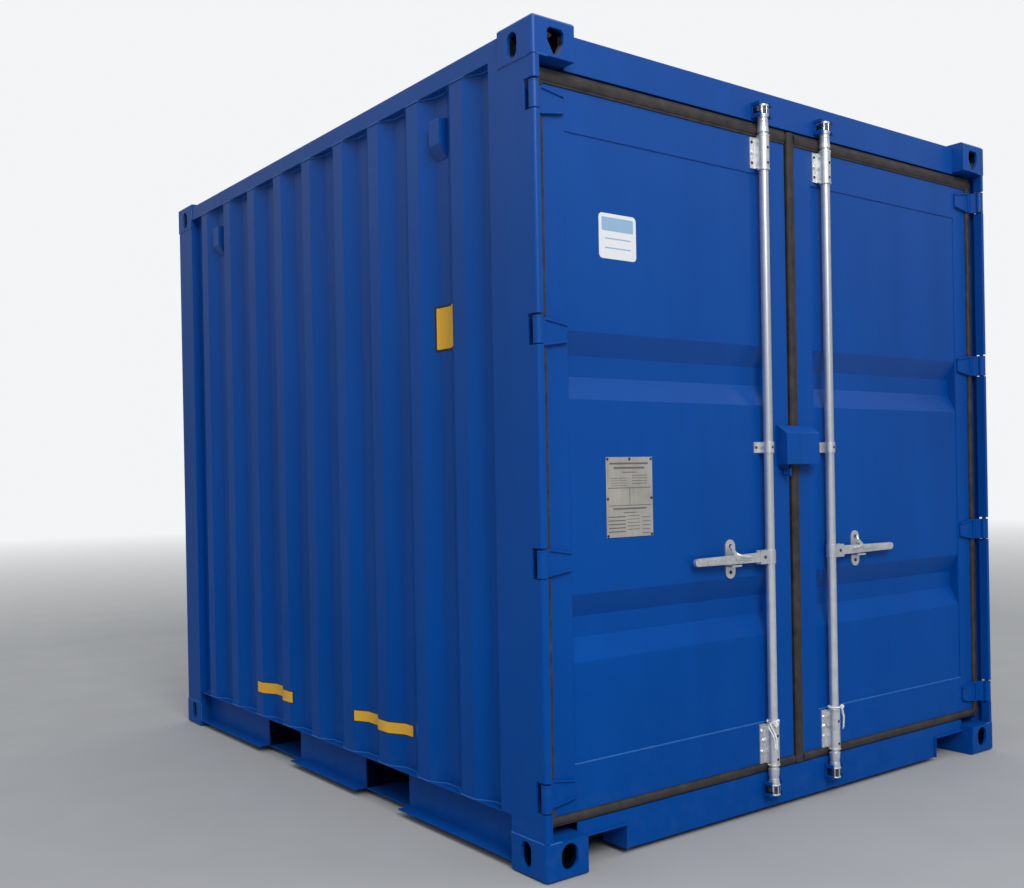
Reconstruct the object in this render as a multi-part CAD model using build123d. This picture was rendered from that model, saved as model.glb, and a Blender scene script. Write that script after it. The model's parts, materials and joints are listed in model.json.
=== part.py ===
from build123d import *
from math import radians, tan
import os

# A ten foot dry freight container, eight feet six inches high, with a pair of doors in one end.
# X runs across the width, Y along the length with the doors at -Y, and Z up from the ground.
# The origin is on the ground, under the middle of the container. All sizes are in millimetres.

# Outside of the corner castings
LENGTH = 2991.0
WIDTH = 2438.0
HEIGHT = 2591.0

# Corner castings
CASTING_LENGTH = 178.0
CASTING_WIDTH = 162.0
CASTING_HEIGHT = 118.0
CASTING_OUTER_WALL = 30.0
CASTING_INNER_WALL = 12.0
CASTING_FLOOR = 28.0
CASTING_BACK = 14.0
CASTING_CORNER_RADIUS = 14.0
CASTING_EDGE_CHAMFER = 8.0
LOCK_HOLE_LENGTH = 124.5
LOCK_HOLE_WIDTH = 63.5
SIDE_HOLE_HEIGHT = 79.5
SIDE_HOLE_WIDTH = 51.0
SHIELD_CORNER = 10.0
LOCK_HOLE_FROM_END = 102.0
LOCK_HOLE_FROM_SIDE = 89.5
SIDE_HOLE_FROM_FACE = 69.0

# Plates and sheets
POST_PLATE = 6.0
RAIL_PLATE = 4.0
SHEET = 2.0
POST_SET_IN = 3.0
RAIL_SET_IN = 6.0

# Door end posts
POST_REAR_EXTENT = 233.0
HOOK_WIDTH = 27.0
HOOK_DEPTH = 37.0
POST_FRONT_SET_BACK = 1.5
POST_CORNER_RADIUS = 12.0
JAMB_FRONT = 64.5
JAMB_DEPTH = 96.0
JAMB_WIDTH = 56.0

# Door end header and sill
HEADER_TOP = HEIGHT - 14.0
HEADER_BOTTOM = HEADER_TOP - 112.0
HEADER_DEPTH = 90.0
SILL_BOTTOM = 18.0
SILL_TOP = 144.0
SILL_DEPTH = 112.0
END_FACE_SET_BACK = 52.5
SILL_NOTCH_END = 197.0
SILL_NOTCH_TOP = 101.0
SILL_LINING = 6.0
SILL_LINING_PROUD = 8.0

# Side rails
TOP_RAIL_SIZE = 60.0
TOP_RAIL_TOP = HEIGHT - 21.0
BOTTOM_RAIL_BOTTOM = 25.0
BOTTOM_RAIL_TOP = 172.0
BOTTOM_RAIL_FLANGE = 48.0

# Fork pockets through the base
FORK_SPACING = 900.0
FORK_WIDTH = 325.0
FORK_TOP = 146.0
FORK_STRAP_WIDTH = 150.0

# Corrugated side walls
RIDGE_COUNT = 9
CORRUGATION_RIDGE = 72.0
CORRUGATION_SLOPE = 68.0
CORRUGATION_DEPTH = 34.0
FIRST_RIDGE_FROM_END = 386.5
LAST_RIDGE_FROM_END = 380.5

# Corrugated blind end
END_RIDGE_COUNT = 8
END_RIDGE = 110.0
END_SLOPE = 22.0
END_DEPTH = 42.0
END_MARGIN = 127.0

# Roof sheet with raised panels
ROOF_RIB_COUNT = 12
ROOF_RIB_WIDTH = 150.0
ROOF_RIB_HEIGHT = 14.0
ROOF_RIB_FROM_SIDE = 179.0
ROOF_END_LAP = 10.0

# Floor
FLOOR_THICKNESS = 28.0
CROSS_MEMBER_HEIGHT = 122.0
CROSS_MEMBER_WIDTH = 45.0
CROSS_MEMBER_FROM_END = 255.5
CROSS_MEMBER_FROM_POCKET = 122.5
CROSS_MEMBER_FROM_MIDDLE = 150.0

# Vent covers near the top of each side
VENT_VALLEYS = (0, 7)
VENT_TOP = HEIGHT - 167.0
VENT_HEIGHT = 136.0
VENT_MOUTH = 45.0
VENT_CHAMFER = 5.0
VENT_WIDTH = 60.0

# Door hinges
PIN_INSET = 18.0
PIN_RADIUS = 8.0
PIN_CLEARANCE = 0.05
KNUCKLE_RADIUS = 16.0
KNUCKLE_HEIGHT = 84.0
KNUCKLE_RECESS = 14.0
HINGE_GAP_ABOVE = 7.0
HINGE_GAP_BELOW = 3.0
HINGE_COUNT = 4
FIRST_HINGE = 252.0
LAST_HINGE = HEIGHT - 236.0
BLADE_WEB = 8.0
BLADE_RIB_DEPTH = 13.0
BLADE_RIB = 6.0
BLADE_LENGTH = 89.0
BLADE_ROOT = 10.0
BLADE_END_HEIGHT = 56.0

# Door leaves
LEAF_SET_BACK = 54.5
LEAF_THICKNESS = 50.0
LEAF_FROM_SIDE = 74.0
LEFT_MIDDLE_EDGE = 31.0
RIGHT_MIDDLE_EDGE = 20.0
LEAF_BOTTOM = 178.0
LEAF_TOP = HEIGHT - 180.0
HINGE_STILE = 84.0
PANEL_MIDDLE_EDGE = 113.0
TOP_MEMBER = 130.0
BOTTOM_MEMBER = 145.0
PANEL_SET_BACK = 3.0
PANEL_SHEET = 3.0
GROOVE_DEPTH = 36.0
GROOVE_HEIGHT = 212.0
GROOVE_FLOOR = 66.0
GROOVE_MARGIN = 1.0
UPPER_GROOVE = LEAF_TOP - 851.0
LOWER_GROOVE = LEAF_BOTTOM + 563.0

# Door seals
SEAL_THICKNESS = 9.0
SEAL_PROUD = 4.0
SEAL_SIDE_REACH = 34.0
SEAL_TOP_REACH = 45.0
SEAL_BOTTOM_REACH = 29.0
SEAL_LEG = 8.0
MIDDLE_STRIP_WIDTH = 42.0
MIDDLE_STRIP_DEPTH = 29.0

# Locking bars
BAR_PLACE = 172.0
BAR_RADIUS = 17.0
BAR_STAND_OFF = 26.5
BAR_CLEARANCE = 0.5
SLEEVE_RADIUS = 21.5
TOP_SLEEVE = (LEAF_TOP - 124.0, LEAF_TOP + 2.0)
BOTTOM_SLEEVE = (170.0, 326.0)
SLEEVE_END = 8.0
FLANGE_REACH = 45.0
FLANGE_THICKNESS = 5.0
BRACKET_MIDDLE = HEIGHT / 2 + 8.0
BRACKET_HEIGHT = 39.0
BRACKET_WALL = 3.0

# Cam heads on the bars, and their keepers
TOP_CAM = HEIGHT - 91.0
BOTTOM_CAM = 89.0
HEAD_RADIUS = 20.0
HEAD_INNER = 26.0
HEAD_OUTER = 19.0
COLLAR_GAP = 8.0
COLLAR_END = 45.0
COLLAR_RADIUS = 19.0
CAM_HEIGHT = 18.0
CAM_LOBE = 34.0
KEEPER_HEIGHT = 54.0
KEEPER_FOOT = 6.0
KEEPER_INNER = 22.0
PRONG_INNER = 26.0
PRONG_OUTER = 34.0
PRONG_HEIGHT = 12.5
PRONG_REACH = 40.0

# Handles
HANDLE_HEIGHT = 915.0
HANDLE_LENGTH = 327.0
HANDLE_THICKNESS = 12.0
HANDLE_DEPTH = 34.0
HANDLE_TIP_DEPTH = 26.0
HUB_REACH = 44.0
HUB_HEIGHT = 48.0
HUB_EAR = 6.0
HUB_WALL = 3.0
RIVET_RADIUS = 6.0
RETAINER_PLACE = 178.0
RETAINER_WIDTH = 48.0
RETAINER_HEIGHT = 136.0
RETAINER_THICKNESS = 5.0
LEDGE_DROP = 20.0
LEDGE_THICKNESS = 6.0

# The catch on each handle, from the bar's middle and the handle's middle line
CATCH_WIDTH = 12.0
CATCH_THICKNESS = 5.0
LEFT_CATCH = [(210.0, 49.0), (179.0, 4.0), (110.0, 1.0)]
RIGHT_CATCH = [(151.0, 33.0), (191.0, 4.0), (270.0, 4.0)]

# Lock box in front of the middle of the doors
LOCK_BOX_LEFT = 98.0
LOCK_BOX_RIGHT = 84.0
LOCK_BOX_SPLIT = 5.5
LOCK_BOX_BOTTOM = HEIGHT / 2 - 53.5
LOCK_BOX_TOP = LOCK_BOX_BOTTOM + 142.0
LOCK_BOX_FRONT_TOP = LOCK_BOX_BOTTOM + 112.0
LOCK_BOX_DEPTH = 50.0
LOCK_BOX_PLATE = 5.0
LOCK_BOX_CLEARANCE = 2.0
STAPLE_PLACE = -62.0
STAPLE_BAR = 7.0

# Ropes tied round the bars above their lower sleeves, as routes of chosen points
ROPE_RADIUS = 3.0
ROPE_SIDES = 6
LEFT_ROPE = [
    (-195.2, -1461.3, 330.0),
    (-178.2, -1444.3, 330.0),
    (-155.0, -1450.5, 330.0),
    (-148.8, -1473.7, 330.0),
    (-166.6, -1490.9, 331.0),
    (-191.7, -1485.2, 330.0),
    (-199.5, -1466.5, 315.0),
    (-194.9, -1480.8, 290.0),
    (-186.7, -1489.3, 262.0),
    (-188.2, -1488.2, 236.0),
]
RIGHT_ROPE = [
    (195.6, -1463.3, 330.0),
    (180.2, -1444.9, 330.0),
    (156.6, -1449.1, 330.0),
    (148.4, -1471.7, 330.0),
    (163.8, -1490.1, 330.0),
    (187.9, -1489.3, 330.0),
    (203.0, -1481.4, 304.0),
    (212.4, -1481.0, 280.0),
    (210.4, -1479.5, 257.0),
]

# Data plate on the left door
DATA_PLATE_FROM_EDGE = 233.0
DATA_PLATE_WIDTH = 200.0
DATA_PLATE_BOTTOM = 1016.0
DATA_PLATE_TOP = 1273.0
DATA_PLATE_THICKNESS = 1.5

# Places that follow from the sizes above
HALF_LENGTH = LENGTH / 2
HALF_WIDTH = WIDTH / 2
FRONT = -HALF_LENGTH
CASTING_INNER_X = HALF_WIDTH - CASTING_WIDTH
CASTING_REAR_Y = FRONT + CASTING_LENGTH
POST_FACE = HALF_WIDTH - POST_SET_IN
WALL_FACE = HALF_WIDTH - RAIL_SET_IN
END_FACE_Y = FRONT + END_FACE_SET_BACK
PIN_X = HALF_WIDTH - PIN_INSET
PIN_Y = FRONT + PIN_INSET
LEAF_EDGE = HALF_WIDTH - LEAF_FROM_SIDE
LEAF_FRONT_Y = FRONT + LEAF_SET_BACK
LEAF_BACK_Y = LEAF_FRONT_Y + LEAF_THICKNESS
PANEL_FACE_Y = LEAF_FRONT_Y + PANEL_SET_BACK
SEAL_FRONT_Y = LEAF_FRONT_Y - SEAL_PROUD
STRIP_EDGE = RIGHT_MIDDLE_EDGE - MIDDLE_STRIP_WIDTH
BAR_Y = LEAF_FRONT_Y - BAR_STAND_OFF
POST_REAR_Y = FRONT + POST_REAR_EXTENT
WEB_X = WALL_FACE - BOTTOM_RAIL_FLANGE
HINGE_SPACING = (LAST_HINGE - FIRST_HINGE) / (HINGE_COUNT - 1)
HINGE_PLACES = [FIRST_HINGE + i * HINGE_SPACING for i in range(HINGE_COUNT)]
RIVET_X = BAR_PLACE + BAR_RADIUS + HUB_REACH / 2
FIRST_RIDGE = FRONT + FIRST_RIDGE_FROM_END
CORRUGATION_PITCH = (LENGTH - FIRST_RIDGE_FROM_END - LAST_RIDGE_FROM_END) / (RIDGE_COUNT - 1)


def block(x0, x1, y0, y1, z0, z1):
    """A box between two corners."""
    centre = ((x0 + x1) / 2, (y0 + y1) / 2, (z0 + z1) / 2)
    return Pos(*centre) * Box(abs(x1 - x0), abs(y1 - y0), abs(z1 - z0))


def upright(points, z0, z1):
    """A prism from an outline in plan."""
    face = make_face(Polyline(*points, close=True))
    return Pos(0, 0, z0) * extrude(face, z1 - z0)


def along_x(points, x0, x1):
    """A prism from an outline of (y, z) points, from x0 to x1."""
    face = make_face(Polyline(*[(x0, y, z) for y, z in points], close=True))
    return extrude(face, x1 - x0, dir=(1, 0, 0))


def along_y(points, y0, y1):
    """A prism from an outline of (x, z) points, from y0 to y1."""
    face = make_face(Polyline(*[(x, y0, z) for x, z in points], close=True))
    return extrude(face, y1 - y0, dir=(0, 1, 0))


def post_rod(x, y, z0, z1, radius):
    """An upright round bar."""
    return Pos(x, y, (z0 + z1) / 2) * Cylinder(radius, z1 - z0)


def cross_rod(x, y0, y1, z, radius):
    """A round bar along Y."""
    return Pos(x, (y0 + y1) / 2, z) * Rot(90, 0, 0) * Cylinder(radius, abs(y1 - y0))


def mirrored(shape):
    """The same piece on the other side of the container."""
    return mirror(shape, about=Plane.YZ)


def save(name, *pieces):
    """Writes one named sub-part, as one solid or as several that stand apart."""
    solids = []
    for piece in pieces:
        solids.extend(piece.solids())
    shape = solids[0] if len(solids) == 1 else Compound(children=solids)
    export_step(shape, f"parts/{name}.step")


def shield_hole(x, z, y0, y1):
    """The end hole of a top casting as it would lie upside down: square below and pointed above."""
    half = LOCK_HOLE_WIDTH / 2
    tall = SIDE_HOLE_HEIGHT / 2
    corner = SHIELD_CORNER
    right = [(half - corner, -tall), (half, corner - tall), (half, 0), (corner, tall)]
    left = [(-dx, dz) for dx, dz in reversed(right)]
    return along_y([(x + dx, z + dz) for dx, dz in right + left], y0, y1)


def corner_casting(top):
    """The right casting of the door end: a bottom one, or a top one as it would lie upside down."""
    x0, x1 = CASTING_INNER_X, HALF_WIDTH
    y0, y1 = FRONT, CASTING_REAR_Y
    body = block(x0, x1, y0, y1, 0, CASTING_HEIGHT)
    corner = body.edges().filter_by(Axis.Z).sort_by_distance((x1, y0, 0))[0]
    body = fillet(corner, CASTING_CORNER_RADIUS)
    low_edges = body.edges().filter_by_position(Axis.Z, -1, 1)
    outside = [edge for edge in low_edges if edge.center().X > x0 + 1 and edge.center().Y < y1 - 1]
    body = chamfer(outside, CASTING_EDGE_CHAMFER)
    body -= block(
        x0 + CASTING_INNER_WALL,
        x1 - CASTING_OUTER_WALL,
        y0 + CASTING_OUTER_WALL,
        y1 - CASTING_INNER_WALL,
        CASTING_FLOOR,
        CASTING_HEIGHT - CASTING_BACK,
    )
    hole_x = x1 - LOCK_HOLE_FROM_SIDE
    hole_y = y0 + LOCK_HOLE_FROM_END
    lock_hole = extrude(SlotOverall(LOCK_HOLE_LENGTH, LOCK_HOLE_WIDTH, rotation=90), CASTING_FLOOR + 1)
    body -= Pos(hole_x, hole_y, -1) * lock_hole
    reach = CASTING_OUTER_WALL + 1
    side_slot = SlotOverall(SIDE_HOLE_HEIGHT, SIDE_HOLE_WIDTH)
    side_plane = Plane((x1 + 1, hole_y, SIDE_HOLE_FROM_FACE), x_dir=(0, 0, 1), z_dir=(-1, 0, 0))
    body -= extrude(side_plane * side_slot, reach)
    if top:
        return body - shield_hole(hole_x, SIDE_HOLE_FROM_FACE, y0 - 1, y0 + CASTING_OUTER_WALL + 1)
    end_slot = SlotOverall(SIDE_HOLE_HEIGHT, LOCK_HOLE_WIDTH)
    end_plane = Plane((hole_x, y0 - 1, SIDE_HOLE_FROM_FACE), x_dir=(0, 0, 1), z_dir=(0, 1, 0))
    return body - extrude(end_plane * end_slot, reach)


def save_castings():
    """Eight castings, four below and four above."""
    low = corner_casting(top=False)
    high = Pos(0, 0, HEIGHT) * mirror(corner_casting(top=True), about=Plane.XY)
    for name, casting in (("bottom", low), ("top", high)):
        far = mirror(casting, about=Plane.XZ)
        save(f"{name}_corner_castings", casting, mirrored(casting), far, mirrored(far))


def door_post():
    """The right door post: a side plate with a hook, the hinge pins across its notches, and a jamb box."""
    z0, z1 = CASTING_HEIGHT, HEIGHT - CASTING_HEIGHT
    front = FRONT + POST_FRONT_SET_BACK
    hook_x = HALF_WIDTH - HOOK_WIDTH
    hook_y = front + HOOK_DEPTH
    inner_x = POST_FACE - POST_PLATE
    jamb_y = FRONT + JAMB_FRONT
    jamb_x = POST_FACE - JAMB_WIDTH
    jamb_end = jamb_y + JAMB_DEPTH
    outline = [
        (POST_FACE, CASTING_REAR_Y),
        (POST_FACE, front),
        (hook_x, front),
        (hook_x, hook_y),
        (inner_x, hook_y),
        (inner_x, jamb_y),
        (jamb_x, jamb_y),
        (jamb_x, jamb_end),
        (jamb_x + POST_PLATE, jamb_end),
        (jamb_x + POST_PLATE, jamb_y + POST_PLATE),
        (inner_x, jamb_y + POST_PLATE),
        (inner_x, CASTING_REAR_Y),
    ]
    post = upright(outline, z0, z1)
    corner = post.edges().filter_by(Axis.Z).sort_by_distance((POST_FACE, front, z0))[0]
    post = fillet(corner, POST_CORNER_RADIUS)
    web = block(jamb_x, inner_x, jamb_end - POST_PLATE, jamb_end, z0, z1)
    top = TOP_RAIL_TOP - TOP_RAIL_SIZE
    rear = block(inner_x, POST_FACE, CASTING_REAR_Y, POST_REAR_Y, BOTTOM_RAIL_TOP, top)
    fold_x = POST_FACE - CORRUGATION_DEPTH
    fold = block(fold_x, POST_FACE, POST_REAR_Y - POST_PLATE, POST_REAR_Y, BOTTOM_RAIL_TOP, top)
    post = post + web + rear + fold
    notch_y = PIN_Y + KNUCKLE_RADIUS + KNUCKLE_RECESS
    for z in HINGE_PLACES:
        low = z - KNUCKLE_HEIGHT / 2 - HINGE_GAP_BELOW
        high = z + KNUCKLE_HEIGHT / 2 + HINGE_GAP_ABOVE
        post -= block(hook_x - 1, HALF_WIDTH, FRONT, hook_y + 1, low, high)
        post -= block(inner_x - 1, HALF_WIDTH, FRONT, notch_y, low, high)
        post += post_rod(PIN_X, PIN_Y, low, high, PIN_RADIUS)
    return post


def blind_post():
    """The right post of the blind end: a folded plate closed into a corner tube."""
    z0, z1 = CASTING_HEIGHT, HEIGHT - CASTING_HEIGHT
    back = HALF_LENGTH - POST_SET_IN
    side_y = HALF_LENGTH - CASTING_LENGTH
    end_x = CASTING_INNER_X
    t = POST_PLATE
    outline = [
        (POST_FACE, side_y),
        (POST_FACE, back),
        (end_x, back),
        (end_x, back - 50),
        (end_x + t, back - 50),
        (end_x + t, back - t),
        (POST_FACE - t, back - t),
        (POST_FACE - t, side_y + t),
        (POST_FACE - 40, side_y + t),
        (POST_FACE - 40, side_y),
    ]
    post = upright(outline, z0, z1)
    corner = post.edges().filter_by(Axis.Z).sort_by_distance((POST_FACE, back, z0))[0]
    return fillet(corner, t * 2)


def door_header():
    """A folded box between the top castings."""
    y0, y1 = END_FACE_Y, END_FACE_Y + HEADER_DEPTH
    x = CASTING_INNER_X
    t = RAIL_PLATE
    header = block(-x, x, y0, y1, HEADER_BOTTOM, HEADER_TOP)
    return header - block(-x, x, y0 + t, y1 - t, HEADER_BOTTOM + t, HEADER_TOP - t)


def door_sill():
    """A folded box between the bottom castings, cut out under each end."""
    y0, y1 = END_FACE_Y, END_FACE_Y + SILL_DEPTH
    x = CASTING_INNER_X
    notch_x = x - SILL_NOTCH_END
    t = RAIL_PLATE
    sill = block(-x, x, y0, y1, SILL_BOTTOM, SILL_TOP)
    sill -= block(-x, x, y0 + t, y1 - t, SILL_BOTTOM + t, SILL_TOP - t)
    for side in (-1, 1):
        lip_y = y0 - SILL_LINING_PROUD
        top = SILL_NOTCH_TOP
        sill -= block(side * notch_x, side * (x + 1), y0 - 1, y1 + 1, 0, top)
        sill += block(side * (notch_x - SILL_LINING), side * x, lip_y, y1, top - SILL_LINING, top)
        sill += block(side * notch_x, side * (notch_x - SILL_LINING), lip_y, y1, SILL_BOTTOM, top)
    return sill


def square_tube_y(x0, x1, y0, y1, z0, z1, wall):
    """A hollow rail along Y."""
    return block(x0, x1, y0, y1, z0, z1) - block(x0 + wall, x1 - wall, y0, y1, z0 + wall, z1 - wall)


def top_rail():
    """The right top side rail, between the castings."""
    y = HALF_LENGTH - CASTING_LENGTH
    x0 = WALL_FACE - TOP_RAIL_SIZE
    return square_tube_y(x0, WALL_FACE, -y, y, TOP_RAIL_TOP - TOP_RAIL_SIZE, TOP_RAIL_TOP, RAIL_PLATE)


def bottom_rail():
    """The right bottom side rail: a channel open to the outside, cut through at the fork pockets."""
    y = HALF_LENGTH - CASTING_LENGTH
    t = RAIL_PLATE
    z0, z1 = BOTTOM_RAIL_BOTTOM, BOTTOM_RAIL_TOP
    web_back = WEB_X - t
    outline = [
        (web_back, z0),
        (WALL_FACE, z0),
        (WALL_FACE, z0 + t),
        (WEB_X, z0 + t),
        (WEB_X, z1 - t),
        (WALL_FACE, z1 - t),
        (WALL_FACE, z1),
        (web_back, z1),
    ]
    rail = along_y(outline, -y, y)
    for place in (-FORK_SPACING / 2, FORK_SPACING / 2):
        rail -= block(
            web_back - 1, HALF_WIDTH, place - FORK_WIDTH / 2, place + FORK_WIDTH / 2, z0 - 1, FORK_TOP
        )
    for end in (-y, y):
        rail += block(web_back, WALL_FACE, end, end - t if end > 0 else end + t, z0, z1)
    return rail


def fork_pocket(place):
    """One fork pocket: a roof and two sides from rail to rail."""
    x = WEB_X - RAIL_PLATE
    half = FORK_WIDTH / 2
    t = RAIL_PLATE
    top = SILL_TOP
    pocket = block(-x, x, place - half - t, place + half + t, BOTTOM_RAIL_BOTTOM, top)
    return pocket - block(-x, x, place - half, place + half, BOTTOM_RAIL_BOTTOM - 1, top - t)


def fork_pocket_strap(place):
    """The strap under the right mouth of a fork pocket, which ties its two sides."""
    x = WEB_X - RAIL_PLATE
    half = FORK_WIDTH / 2 + RAIL_PLATE
    z1 = BOTTOM_RAIL_BOTTOM
    return block(x - FORK_STRAP_WIDTH, x, place - half, place + half, z1 - RAIL_PLATE, z1)


def corrugated_line(start, first_ridge, ridge, slope, pitch, count, end, depth):
    """The outer line of a corrugated sheet as (along, inset) points: ridges at 0, valleys at depth."""
    line = [(start, depth)]
    for i in range(count):
        a = first_ridge + i * pitch
        line.extend([(a - slope, depth), (a, 0), (a + ridge, 0), (a + ridge + slope, depth)])
    line.append((end, depth))
    return line


def side_wall():
    """The right side wall."""
    line = corrugated_line(
        POST_REAR_Y,
        FIRST_RIDGE,
        CORRUGATION_RIDGE,
        CORRUGATION_SLOPE,
        CORRUGATION_PITCH,
        RIDGE_COUNT,
        HALF_LENGTH - CASTING_LENGTH,
        CORRUGATION_DEPTH,
    )
    outer = [(WALL_FACE - inset, y) for y, inset in line]
    inner = [(x - SHEET, y) for x, y in reversed(outer)]
    return upright(outer + inner, BOTTOM_RAIL_TOP, TOP_RAIL_TOP - TOP_RAIL_SIZE)


def blind_end_wall():
    """The corrugated sheet of the blind end, between its posts and rails."""
    x = CASTING_INNER_X
    first = END_MARGIN - x
    pitch = (2 * (x - END_MARGIN) - END_RIDGE) / (END_RIDGE_COUNT - 1)
    face = HALF_LENGTH - POST_SET_IN - 4
    line = corrugated_line(-x, first, END_RIDGE, END_SLOPE, pitch, END_RIDGE_COUNT, x, END_DEPTH)
    outer = [(a, face - inset) for a, inset in line]
    inner = [(a, y - SHEET) for a, y in reversed(outer)]
    return upright(outer + inner, BOTTOM_RAIL_TOP, TOP_RAIL_TOP - TOP_RAIL_SIZE)


def blind_end_rails():
    """The tubes over and under the blind end wall."""
    x = CASTING_INNER_X
    back = HALF_LENGTH - POST_SET_IN
    front = back - TOP_RAIL_SIZE
    t = RAIL_PLATE
    rails = []
    for z0, z1 in ((TOP_RAIL_TOP - TOP_RAIL_SIZE, TOP_RAIL_TOP), (BOTTOM_RAIL_BOTTOM, BOTTOM_RAIL_TOP)):
        rail = block(-x, x, front, back, z0, z1)
        rails.append(rail - block(-x, x, front + t, back - t, z0 + t, z1 - t))
    return rails


def roof():
    """The roof sheet, with raised panels across it."""
    x = WALL_FACE
    y0 = END_FACE_Y + HEADER_DEPTH
    y1 = HALF_LENGTH - POST_SET_IN - ROOF_END_LAP
    z = TOP_RAIL_TOP
    sheet = block(-x, x, y0, y1, z, z + SHEET)
    for side in (-1, 1):
        for end in (-1, 1):
            inner_y = -end * CASTING_REAR_Y
            sheet -= block(
                side * CASTING_INNER_X, side * HALF_WIDTH, inner_y, end * HALF_LENGTH, z - 1, HEIGHT
            )
    pitch = (y1 - y0) / ROOF_RIB_COUNT
    slope = ROOF_RIB_HEIGHT
    half_x = HALF_WIDTH - ROOF_RIB_FROM_SIDE
    half_y = ROOF_RIB_WIDTH / 2
    for i in range(ROOF_RIB_COUNT):
        y = y0 + (i + 0.5) * pitch
        rib = raised_panel(half_x, half_y, slope, ROOF_RIB_HEIGHT)
        hollow = raised_panel(half_x - SHEET, half_y - SHEET, slope, ROOF_RIB_HEIGHT)
        sheet += Pos(0, y, z + SHEET) * rib
        sheet -= Pos(0, y, z) * hollow
    return sheet


def raised_panel(half_x, half_y, slope, height):
    """A frustum that stands on z = 0."""
    base = Rectangle(2 * half_x, 2 * half_y)
    top = Pos(0, 0, height) * Rectangle(2 * (half_x - slope), 2 * (half_y - slope))
    return loft([base, top], ruled=True)


def floor_boards():
    """The plywood floor."""
    x = WEB_X - RAIL_PLATE
    y0 = LEAF_BACK_Y + 8
    y1 = HALF_LENGTH - POST_SET_IN - TOP_RAIL_SIZE
    top = SILL_TOP + FLOOR_THICKNESS
    floor = block(-x, x, y0, y1, SILL_TOP, top)
    keep_x = POST_FACE - JAMB_WIDTH - 1
    for side in (-1, 1):
        floor -= block(side * keep_x, side * HALF_WIDTH, y0 - 1, CASTING_REAR_Y, 0, top + 1)
    return floor


def cross_members():
    """Channels across the base that carry the floor."""
    x = WEB_X - RAIL_PLATE
    z1 = SILL_TOP
    z0 = z1 - CROSS_MEMBER_HEIGHT
    t = RAIL_PLATE
    w = CROSS_MEMBER_WIDTH
    outer = HALF_LENGTH - CROSS_MEMBER_FROM_END
    inner = (FORK_SPACING + FORK_WIDTH) / 2 + CROSS_MEMBER_FROM_POCKET
    places = (CROSS_MEMBER_FROM_MIDDLE, inner, (inner + outer) / 2, outer)
    members = []
    for y in [-place for place in places] + list(places):
        outline = [
            (y, z0),
            (y + w, z0),
            (y + w, z0 + t),
            (y + t, z0 + t),
            (y + t, z1 - t),
            (y + w, z1 - t),
            (y + w, z1),
            (y, z1),
        ]
        members.append(along_x(outline, -x, x))
    return members


def vent_cover(valley):
    """A small hood over a vent, with a slanted mouth below, in a valley of the right side wall."""
    valley_width = CORRUGATION_PITCH - CORRUGATION_RIDGE - 2 * CORRUGATION_SLOPE
    ridge = FIRST_RIDGE + valley * CORRUGATION_PITCH
    y = ridge + CORRUGATION_RIDGE + CORRUGATION_SLOPE + valley_width / 2
    x0 = WALL_FACE - CORRUGATION_DEPTH
    x1 = WALL_FACE - 1
    low = VENT_TOP - VENT_HEIGHT
    outline = [
        (x0, low),
        (x1, low + VENT_MOUTH),
        (x1, VENT_TOP - VENT_CHAMFER),
        (x0, VENT_TOP),
    ]
    return along_y(outline, y - VENT_WIDTH / 2, y + VENT_WIDTH / 2)


def keeper_bracket(z, side):
    """One of the two prong pairs that guide a cam of the right bar, left or right of the bar."""
    y1 = END_FACE_Y
    low = z - KEEPER_HEIGHT / 2
    high = z + KEEPER_HEIGHT / 2
    inner = BAR_PLACE + side * PRONG_INNER
    outer = BAR_PLACE + side * PRONG_OUTER
    foot = block(BAR_PLACE + side * KEEPER_INNER, outer, y1 - KEEPER_FOOT, y1, low, high)
    upper = block(inner, outer, y1 - PRONG_REACH, y1, high - PRONG_HEIGHT, high)
    lower = block(inner, outer, y1 - PRONG_REACH, y1, low, low + PRONG_HEIGHT)
    return foot + upper + lower


def leaf_members(x0, x1):
    """The frame of a door leaf between x0 at the middle and x1 at the hinges."""
    leaf = block(x0, x1, LEAF_FRONT_Y, LEAF_BACK_Y, LEAF_BOTTOM, LEAF_TOP)
    opening = block(
        PANEL_MIDDLE_EDGE,
        x1 - HINGE_STILE,
        LEAF_FRONT_Y - 1,
        LEAF_BACK_Y + 1,
        LEAF_BOTTOM + BOTTOM_MEMBER,
        LEAF_TOP - TOP_MEMBER,
    )
    return leaf - opening


def groove(x0, x1, z, grow):
    """The pressed groove across a panel, grown outward by the sheet for its back."""
    mouth = GROOVE_HEIGHT / 2 + grow
    floor = GROOVE_FLOOR / 2 + grow
    y1 = PANEL_FACE_Y + GROOVE_DEPTH + grow
    outline = [(PANEL_FACE_Y, z - mouth), (y1, z - floor), (y1, z + floor), (PANEL_FACE_Y, z + mouth)]
    return along_x(outline, x0 - grow, x1 + grow)


def leaf_panel(x1):
    """The pressed steel panel of a door leaf whose hinge edge is at x1, with its two grooves."""
    px0 = PANEL_MIDDLE_EDGE
    px1 = x1 - HINGE_STILE
    z0 = LEAF_BOTTOM + BOTTOM_MEMBER
    z1 = LEAF_TOP - TOP_MEMBER
    panel = block(px0, px1, PANEL_FACE_Y, PANEL_FACE_Y + PANEL_SHEET, z0, z1)
    margin = GROOVE_MARGIN + PANEL_SHEET
    for z in (UPPER_GROOVE, LOWER_GROOVE):
        panel += groove(px0 + margin, px1 - margin, z, PANEL_SHEET)
        panel -= groove(px0 + margin, px1 - margin, z, 0)
    return panel


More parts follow.
